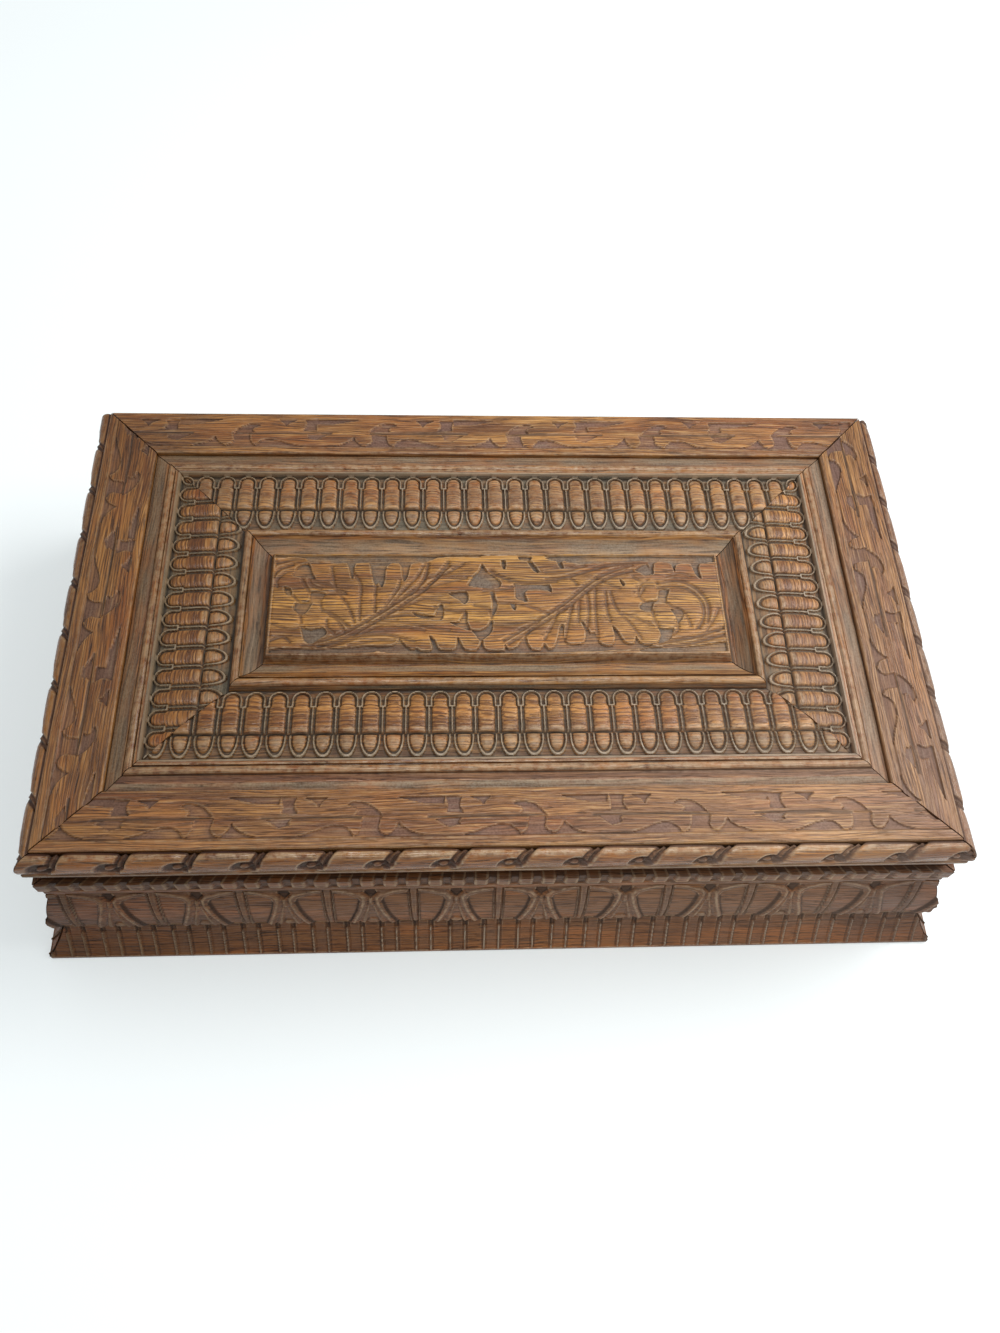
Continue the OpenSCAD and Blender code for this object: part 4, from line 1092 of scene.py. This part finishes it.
def oak(
    name, pale, gold, deep, silt, crack_and_shade, redness=0.4, dusty=0.3, wear_and_highlight=0.5, streaky=1.0, along="GRAIN",
    rough=0.3, ring=1.3, lines=0.5, flush=0.3, painted_sheen=0.2, gloss=0.5,
):
    """European oak, planed or carved, stained and waxed long ago.

    Ring-porous wood: a thin dark line of open pores at every year ring, ring millimetres apart, between dark
    and pale streaks about a millimetre wide and 20 to 40 long. The waxed late wood has a soft sheen, wax and
    dust lie in the hollows and the edges are rubbed pale; painted shade darkens the deepest hollows and
    painted highlights take the rubbed colour. silt holds the two tones of sunk ground and crack_and_shade
    those of cracks and of painted shade. along is the axis of a plain board's grain, or GRAIN for a carved
    piece's own.
    """
    c = bpy.context.scene.oak_box_colours
    pale, deep = paint(pale), paint(deep)
    mat, t = fresh_material(name)
    place = add(t, "ShaderNodeTexCoord").outputs["Object"]
    if along == "GRAIN":
        where = add(t, "ShaderNodeAttribute", attribute_name="grain").outputs["Vector"]
    else:
        turn = (0, 0, 0) if along == "X" else (0, 0, math.pi / 2)
        scale = (1 / MM, 1 / MM, 1 / MM)
        where = add(t, "ShaderNodeMapping", {"Vector": place, "Rotation": turn, "Scale": scale}).outputs[0]
    keys = ("hollow", "edge", "ground")
    hollow, edge, ground = (add(t, "ShaderNodeAttribute", attribute_name=key).outputs["Fac"] for key in keys)

    def noise(vector, scale, detail, roughness=0.5):
        """Noise whose features are 1/scale millimetres long, on all axes alike or on each."""
        if isinstance(scale, tuple):
            vector = add(t, "ShaderNodeMapping", {"Vector": vector, "Scale": scale}).outputs[0]
            scale = 1.0
        inputs = {"Vector": vector, "Scale": scale, "Detail": detail, "Roughness": roughness}
        return add(t, "ShaderNodeTexNoise", inputs).outputs["Fac"]

    def spread(value, lo, hi, top=1.0):
        """0 to top as the value goes from lo to hi."""
        inputs = {"Value": value, "From Min": lo, "From Max": hi, "To Max": top}
        return add(t, "ShaderNodeMapRange", inputs).outputs[0]

    def maths(operation, a, b, clamp=True):
        return add(t, "ShaderNodeMath", {0: a, 1: b}, operation=operation, use_clamp=clamp).outputs[0]

    def times(a, b):
        return maths("MULTIPLY", a, b)

    def moved(operation, a, b):
        return add(t, "ShaderNodeVectorMath", {0: a, 1: b}, operation=operation).outputs[0]

    def blend(amount, a, b, how="MIX"):
        return add(t, "ShaderNodeMix", {0: amount, 6: a, 7: b}, data_type="RGBA", blend_type=how).outputs[2]

    # the grain wanders a few millimetres sideways over 60 mm of length
    drift = add(t, "ShaderNodeMapping", {"Vector": where, "Scale": (0.016, 0.05, 0.05)}).outputs[0]
    sway = add(t, "ShaderNodeTexNoise", {"Vector": drift, "Scale": 1.0, "Detail": 2.0}).outputs["Color"]
    sway = moved("MULTIPLY", moved("SUBTRACT", sway, (0.5, 0.5, 0.5)), (0, 6.0, 6.0))
    wood = moved("ADD", where, sway)

    rings = noise(wood, (0.008, 0.21, 0.18), 2.0)
    streak = noise(wood, (0.045, 1.25, 1.05), 3.0, 0.6)
    pores = noise(wood, (0.12, 2.6, 2.3), 2.5, 0.6)
    faded = noise(where, (0.05, 0.09, 0.09), 2.0)
    hue = noise(where, (0.011, 0.035, 0.035), 1.0)
    orange = noise(where, (0.02, 0.09, 0.09), 2.0)
    patch = noise(where, 0.35, 4.0, 0.65)
    punched = noise(where, 1.3, 2.0)

    base = blend(spread(rings, 0.36, 0.62), c.brown, gold)
    base = blend(spread(hue, 0.40, 0.62, redness), base, c.red)
    base = blend(spread(orange, 0.48, 0.62, flush), base, paint("#B56A2E"))
    dark_line = spread(streak, 0.49, 0.37, 0.9 * streaky)
    pale_line = spread(streak, 0.54, 0.68, 0.6 * streaky)
    base = blend(pale_line, base, pale)
    base = blend(dark_line, base, deep)
    open_pore = times(spread(pores, 0.52, 0.61), maths("ADD", dark_line, 0.4))
    base = blend(times(open_pore, 0.85), base, c.dark)

    # year rings: a line 0.2 to 0.4 mm wide at each, fading in and out along the grain
    across, up = add(t, "ShaderNodeSeparateXYZ", {0: wood}).outputs[1:3]
    across, up = maths("MULTIPLY", across, 1 / ring, False), maths("MULTIPLY", up, 0.5 / ring, False)
    bent = maths("MULTIPLY", noise(where, (0.03, 0.25, 0.2), 2.0), 2.5, False)
    year = maths("ADD", maths("ADD", across, up, False), bent, False)
    year = maths("PINGPONG", year, 0.5, False)
    year = times(spread(year, 0.27, 0.07), spread(noise(where, (0.04, 0.5, 0.5), 2.0), 0.32, 0.5))
    base = blend(times(year, lines), base, deep)

    # rubbed edges and painted highlights, broken up by a patchy noise 3 mm across
    patchy = spread(patch, 0.34, 0.62)
    base = blend(times(spread(edge, 0.03, 0.13, wear_and_highlight), patchy), base, c.wear_and_highlight)

    # ground: 1 is dusty sunk ground, 2 a raised line left grey by wear, -1 dark: cracks holding old wax, and
    # painted shade
    grey = spread(ground, 1.3, 1.9)
    sunk_part = times(maths("MINIMUM", ground, 1.0), maths("SUBTRACT", 1.0, grey))
    dull = blend(spread(punched, 0.35, 0.65), paint(silt[0]), paint(silt[1]))
    dull = blend(times(dark_line, 0.35), dull, deep)
    dull = blend(times(pale_line, 0.8), dull, paint("#9C8D7A"))
    base = blend(times(sunk_part, spread(faded, 0.22, 0.6, 0.92)), base, dull)
    pale_grey = blend(spread(patch, 0.35, 0.7), paint("#B1A591"), paint(silt[1]))
    base = blend(times(grey, 0.7), base, pale_grey)
    crevice_and_shade_colour = blend(patchy, paint(crack_and_shade[0]), paint(crack_and_shade[1]))
    base = blend(spread(ground, 0.0, -1.0, 0.9), base, crevice_and_shade_colour)

    # old wax and dust in the hollows, and painted shade that darkens the deepest corners
    base = blend(times(spread(hollow, 0.04, 0.25, dusty), patchy), base, paint(silt[1]))
    base = blend(spread(hollow, 0.16, 0.5, 0.85), base, paint("#2B2018"))

    # painted light: darker towards the left, where less light falls, paler towards the right and the front as
    # a painted sheen, and darker and greyer again at the far right end
    here = add(t, "ShaderNodeSeparateXYZ", {0: place}).outputs
    across = spread(here[0], -0.18, 0.18)
    painted_sheen_part = times(spread(across, 0.42, 0.97, painted_sheen), spread(here[1], 0.08, -0.07))
    base = blend(painted_sheen_part, base, paint("#C4A68E"))
    painted_light_ramp = [(0.0, (0.56, 0.49, 0.385, 1)), (0.28, (0.80, 0.76, 0.70, 1)), (0.5, (1, 1, 1, 1)),
           (0.86, (1, 1, 1, 1)), (0.945, (0.74, 0.71, 0.72, 1))]
    base = blend(1.0, base, add(t, "ShaderNodeValToRGB", {"Fac": across}, stops=painted_light_ramp).outputs[0], "MULTIPLY")
    if along != "GRAIN":
        # the boards are stained where they show from outside: at the back and underneath
        at_back = spread(here[1], (BACK_Y - 0.6) * MM, (BACK_Y - 0.3) * MM)
        outside = maths("MAXIMUM", at_back, spread(here[2], 0.4 * MM, 0.2 * MM))
        base = blend(outside, base, blend(1.0, base, paint("#C9B49C"), "MULTIPLY"))

    relief = maths("SUBTRACT", maths("ADD", streak, 0.3), times(open_pore, 0.6))
    relief = maths("SUBTRACT", relief, times(year, 0.4))
    relief = maths("ADD", relief, times(punched, sunk_part))
    bump = add(t, "ShaderNodeBump", {"Height": relief, "Strength": 0.6, "Distance": 0.3 * MM}).outputs[0]
    dullness = maths("MAXIMUM", maths("MAXIMUM", open_pore, sunk_part), spread(ground, 0.0, -1.0))
    rougher = add(t, "ShaderNodeMapRange", {"Value": dullness, "To Min": rough, "To Max": 0.7}).outputs[0]
    looks = {"Base Color": base, "Roughness": rougher, "Normal": bump}
    shader = add(t, "ShaderNodeBsdfPrincipled", looks | {"IOR": 1.45, "Specular IOR Level": gloss})
    add(t, "ShaderNodeOutputMaterial", {"Surface": shader.outputs[0]})


def brass(name, dark, middle, light, smoothest):
    """Milled brass, unlacquered: brown-gold, with a dull skin in patches of 7 mm and fine rub marks."""
    mat, t = fresh_material(name)
    place = add(t, "ShaderNodeTexCoord").outputs["Object"]
    # rub marks 0.2 mm wide along the hinge
    rubs = add(t, "ShaderNodeMapping", {"Vector": place, "Scale": (120, 4200, 4200)}).outputs[0]
    rubs = add(t, "ShaderNodeTexNoise", {"Vector": rubs, "Scale": 1.0, "Detail": 3.0}).outputs["Fac"]
    skin = add(t, "ShaderNodeTexNoise", {"Vector": place, "Scale": 140.0, "Detail": 3.0}).outputs["Fac"]
    stops = [(0.3, dark), (0.55, middle), (0.8, light)]
    tint = add(t, "ShaderNodeValToRGB", {"Fac": skin}, stops=stops).outputs[0]
    roughest = smoothest + 0.22
    rough = add(t, "ShaderNodeMapRange", {"Value": rubs, "To Min": smoothest, "To Max": roughest}).outputs[0]
    bump = add(t, "ShaderNodeBump", {"Height": rubs, "Strength": 0.1, "Distance": 0.1 * MM}).outputs[0]
    looks = {"Base Color": tint, "Metallic": 1.0, "Roughness": rough, "Normal": bump}
    shader = add(t, "ShaderNodeBsdfPrincipled", looks)
    add(t, "ShaderNodeOutputMaterial", {"Surface": shader.outputs[0]})


class BOX_OT_woods(bpy.types.Operator):
    """Makes the woods and the brass."""

    bl_idname = "oakbox.woods"
    bl_label = "Woods and brass"

    def execute(self, context):
        c = context.scene.oak_box_colours
        # two tones each: of the silt on sunk ground, and of the wax in cracks, which also colours painted
        # shade
        mauve, umber, olive = ("#64483D", "#7E6053"), ("#5A4C41", "#786A5C"), ("#545044", "#706B5B")
        wax_and_shade_tones, brown_wax_and_shade_tones = ("#271A10", "#3C3227"), ("#4A2C16", "#5E3F24")
        oak("waxed_oak_frieze", "#D8AA70", c.frieze, "#5C381E", mauve, wax_and_shade_tones, redness=0.45, streaky=0.85,
            rough=0.4, wear_and_highlight=0.36, ring=1.05, lines=0.7)
        oak("waxed_oak_roll", "#D0A169", c.roll, "#4D2D17", ("#66503C", "#7E6850"), ("#2C130C", "#46281C"),
            redness=0.5, streaky=0.7, rough=0.24, wear_and_highlight=0.8, lines=0.3)
        oak("waxed_oak_tongues", "#DFB176", c.tongues, "#5A351C", olive, ("#35281C", "#4A3D2F"), redness=0.5,
            dusty=0.35, streaky=0.7, rough=0.34, wear_and_highlight=0.6, ring=1.8, lines=0.85, flush=0.45)
        oak("waxed_oak_panel", "#E2B570", c.panel, "#54341A", umber, brown_wax_and_shade_tones, redness=0.35, streaky=0.5,
            rough=0.4, wear_and_highlight=0.55, ring=1.25, lines=1.0)
        oak("stained_oak_bead", "#C48F5A", c.bead, "#5A351E", ("#6B604D", "#878070"), ("#3A2012", "#54341F"),
            wear_and_highlight=0.7, lines=0.4)
        oak("golden_oak_bead", "#CE9C60", paint("#B07C40"), "#5A351E", ("#746B58", "#8E8674"), wax_and_shade_tones,
            redness=0.2)
        oak("umber_oak_bead", "#A8805A", paint("#8C653C"), "#4A2E1C", ("#5F5647", "#766C5B"), wax_and_shade_tones,
            redness=0.3, painted_sheen=0)
        oak("shaded_oak_body", "#9A663B", c.body, "#40281A", ("#654D40", "#7C6455"), ("#2B1A12", "#3E2C21"),
            dusty=0.2, streaky=0.7, rough=0.4, wear_and_highlight=0.7, lines=0.4, flush=0.4, painted_sheen=0.1, gloss=0.25)
        for wood, along in (("plain_oak_lengthwise", "X"), ("plain_oak_crosswise", "Y")):
            oak(wood, "#BC9A6E", c.plain, "#7C5B38", ("#614A40", "#6B6254"), wax_and_shade_tones, redness=0.1, dusty=0.6,
                streaky=0.4, along=along, rough=0.6, wear_and_highlight=0.35, lines=0.35, flush=0.05, painted_sheen=0)
        brass("old_brass", "#8F7344", c.brass, "#B79B61", 0.28)
        # the screws' slots and rims hold more tarnish than the leaves
        brass("tarnished_brass_screws", "#4A3A24", "#63502F", "#7D683E", 0.4)
        return {"FINISHED"}


class BOX_OT_boards(bpy.types.Operator):
    """Gives the CAD's boards and hinges their wood and brass."""

    bl_idname = "oakbox.boards"
    bl_label = "Boards and hinges"

    def execute(self, context):
        parts = ("lid_leaf", "box_leaf", "pin")
        leaves = [f"{hand}_hinge_{part}" for hand in ("left", "right") for part in parts]
        woods = {
            "plain_oak_lengthwise": ("lid_board", "wall_front", "wall_back", "bottom_board"),
            "plain_oak_crosswise": ("wall_left", "wall_right"),
            "old_brass": leaves,
            "tarnished_brass_screws": ("lid_hinge_screws", "box_hinge_screws"),
        }
        for wood, nodes in woods.items():
            for node in nodes:
                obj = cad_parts[node]
                if not obj.material_slots:
                    obj.data.materials.append(None)
                for slot in obj.material_slots:
                    slot.link = "OBJECT"
                    slot.material = bpy.data.materials[wood]
        return {"FINISHED"}


# Studio

# The camera, fitted to the mitred corners of the lid in the picture: its focal length and the height of the
# picture in pixels, its lift, yaw and roll in radians, and its place in millimetres
FOCAL, PICTURE_HEIGHT = 1061.509, 1333.0
LIFT, YAW, ROLL = 1.067466, 0.108584, 0.090229
CAMERA_AT = (-22.15, -223.48, 453.39)
SENSOR = 36.0
TABLE_SIZE = 6.0


def add_camera():
    """The camera that stands where the picture was taken."""
    forward = Vector((math.sin(YAW) * math.cos(LIFT), math.cos(YAW) * math.cos(LIFT), -math.sin(LIFT)))
    level = Vector((math.cos(YAW), -math.sin(YAW), 0))
    upright = level.cross(forward)
    right = level * math.cos(ROLL) + upright * math.sin(ROLL)
    up = -level * math.sin(ROLL) + upright * math.cos(ROLL)
    bpy.ops.object.camera_add()
    cam = bpy.context.object
    cam.name = "photo_camera"
    spin = Matrix((right, up, -forward)).transposed().to_4x4()
    cam.matrix_world = Matrix.Translation(Vector(CAMERA_AT) * MM) @ spin
    cam.data.sensor_width = SENSOR
    cam.data.lens = FOCAL / PICTURE_HEIGHT * SENSOR
    cam.data.clip_start, cam.data.clip_end = 0.01, 20
    return cam


def add_window():
    """A soft window to the right, as a rectangular lamp that faces the box."""
    place, target = Vector((0.55, 0.16, 0.66)), Vector((0, 0, 0.05))
    bpy.ops.object.light_add(type="AREA", location=place)
    lamp = bpy.context.object
    lamp.name = "window_right"
    lamp.data.shape = "RECTANGLE"
    lamp.data.size, lamp.data.size_y = 0.6, 0.5
    lamp.data.energy = 4.8
    lamp.rotation_euler = (target - place).to_track_quat("-Z", "Y").to_euler()


def add_ceiling():
    """A wide pale ceiling, as a sun whose disc is 20 degrees across, which lights the whole table alike."""
    bpy.ops.object.light_add(type="SUN", location=(0.05, -0.12, 1.6))
    lamp = bpy.context.object
    lamp.name = "ceiling"
    lamp.data.energy, lamp.data.angle, lamp.data.color = 1.26, 0.35, paint("#FCFEFE")[:3]
    lamp.rotation_euler = (0.045, 0.032, 0)


def white_room():
    """A world that the camera sees as white and that lights the box more dimly."""
    world = bpy.data.worlds.new("white_room")
    world.use_nodes = True
    t = world.node_tree
    t.nodes.clear()
    ray = add(t, "ShaderNodeLightPath").outputs
    rays = {0: ray["Is Camera Ray"], 1: ray["Is Transmission Ray"]}
    seen = add(t, "ShaderNodeMath", rays, operation="MAXIMUM")
    fill = add(t, "ShaderNodeBackground", {"Color": paint("#F4F7FA"), "Strength": 0.45})
    shown = add(t, "ShaderNodeBackground", {"Color": (1, 1, 1, 1), "Strength": 1.0})
    mix = add(t, "ShaderNodeMixShader", {0: seen.outputs[0], 1: fill.outputs[0], 2: shown.outputs[0]})
    add(t, "ShaderNodeOutputWorld", {"Surface": mix.outputs[0]})
    return world


def add_table():
    """A pale matt table under the box."""
    bpy.ops.mesh.primitive_plane_add(size=TABLE_SIZE, location=(0, 1.2, -0.2 * MM))
    table = bpy.context.object
    table.name = "pale_table"
    in_edit(table, lambda: bpy.ops.mesh.subdivide(number_cuts=3))
    bpy.ops.object.transform_apply(location=True, rotation=True, scale=True)
    mat, t = fresh_material("matt_laminate_table")
    looks = {"Base Color": bpy.context.scene.oak_box_colours.floor, "Roughness": 0.75}
    shader = add(t, "ShaderNodeBsdfPrincipled", looks | {"Specular IOR Level": 0.2})
    add(t, "ShaderNodeOutputMaterial", {"Surface": shader.outputs[0]})
    table.data.materials.append(mat)


class BOX_OT_studio(bpy.types.Operator):
    """Sets out the pale table, the soft lamps and the camera."""

    bl_idname = "oakbox.studio"
    bl_label = "Studio"

    def execute(self, context):
        start_clean()
        add_table()
        context.scene.world = white_room()
        start_clean()
        add_window()
        add_ceiling()
        context.scene.camera = add_camera()
        context.scene.view_settings.view_transform = "Standard"
        return {"FINISHED"}


# Add-on

OPERATORS = (
    BOX_OT_woods, BOX_OT_studio, BOX_OT_frieze, BOX_OT_edge_rolls, BOX_OT_lid_mouldings, BOX_OT_tongue_bands,
    BOX_OT_panel, BOX_OT_body_mouldings, BOX_OT_boards,
)


class BOX_PT_panel(bpy.types.Panel):
    """Lists the box's pieces in the sidebar."""

    bl_label = "Oak Keepsake Box"
    bl_idname = "BOX_PT_panel"
    bl_space_type = "VIEW_3D"
    bl_region_type = "UI"
    bl_category = "Oak Box"

    def draw(self, context):
        for op in OPERATORS:
            self.layout.operator(op.bl_idname)
        for group in (context.scene.oak_box_sizes, context.scene.oak_box_colours):
            for key in group.__annotations__:
                self.layout.prop(group, key)


CLASSES = (BOX_PG_sizes, BOX_PG_colours) + OPERATORS + (BOX_PT_panel,)


def register():
    for cls in CLASSES:
        bpy.utils.register_class(cls)
    bpy.types.Scene.oak_box_sizes = bpy.props.PointerProperty(type=BOX_PG_sizes)
    bpy.types.Scene.oak_box_colours = bpy.props.PointerProperty(type=BOX_PG_colours)


def unregister():
    del bpy.types.Scene.oak_box_colours
    del bpy.types.Scene.oak_box_sizes
    for cls in reversed(CLASSES):
        bpy.utils.unregister_class(cls)


def main():
    register()
    for op in OPERATORS:
        area, name = op.bl_idname.split(".")
        getattr(getattr(bpy.ops, area), name)()
    start_clean()


if __name__ == "__main__":
    main()
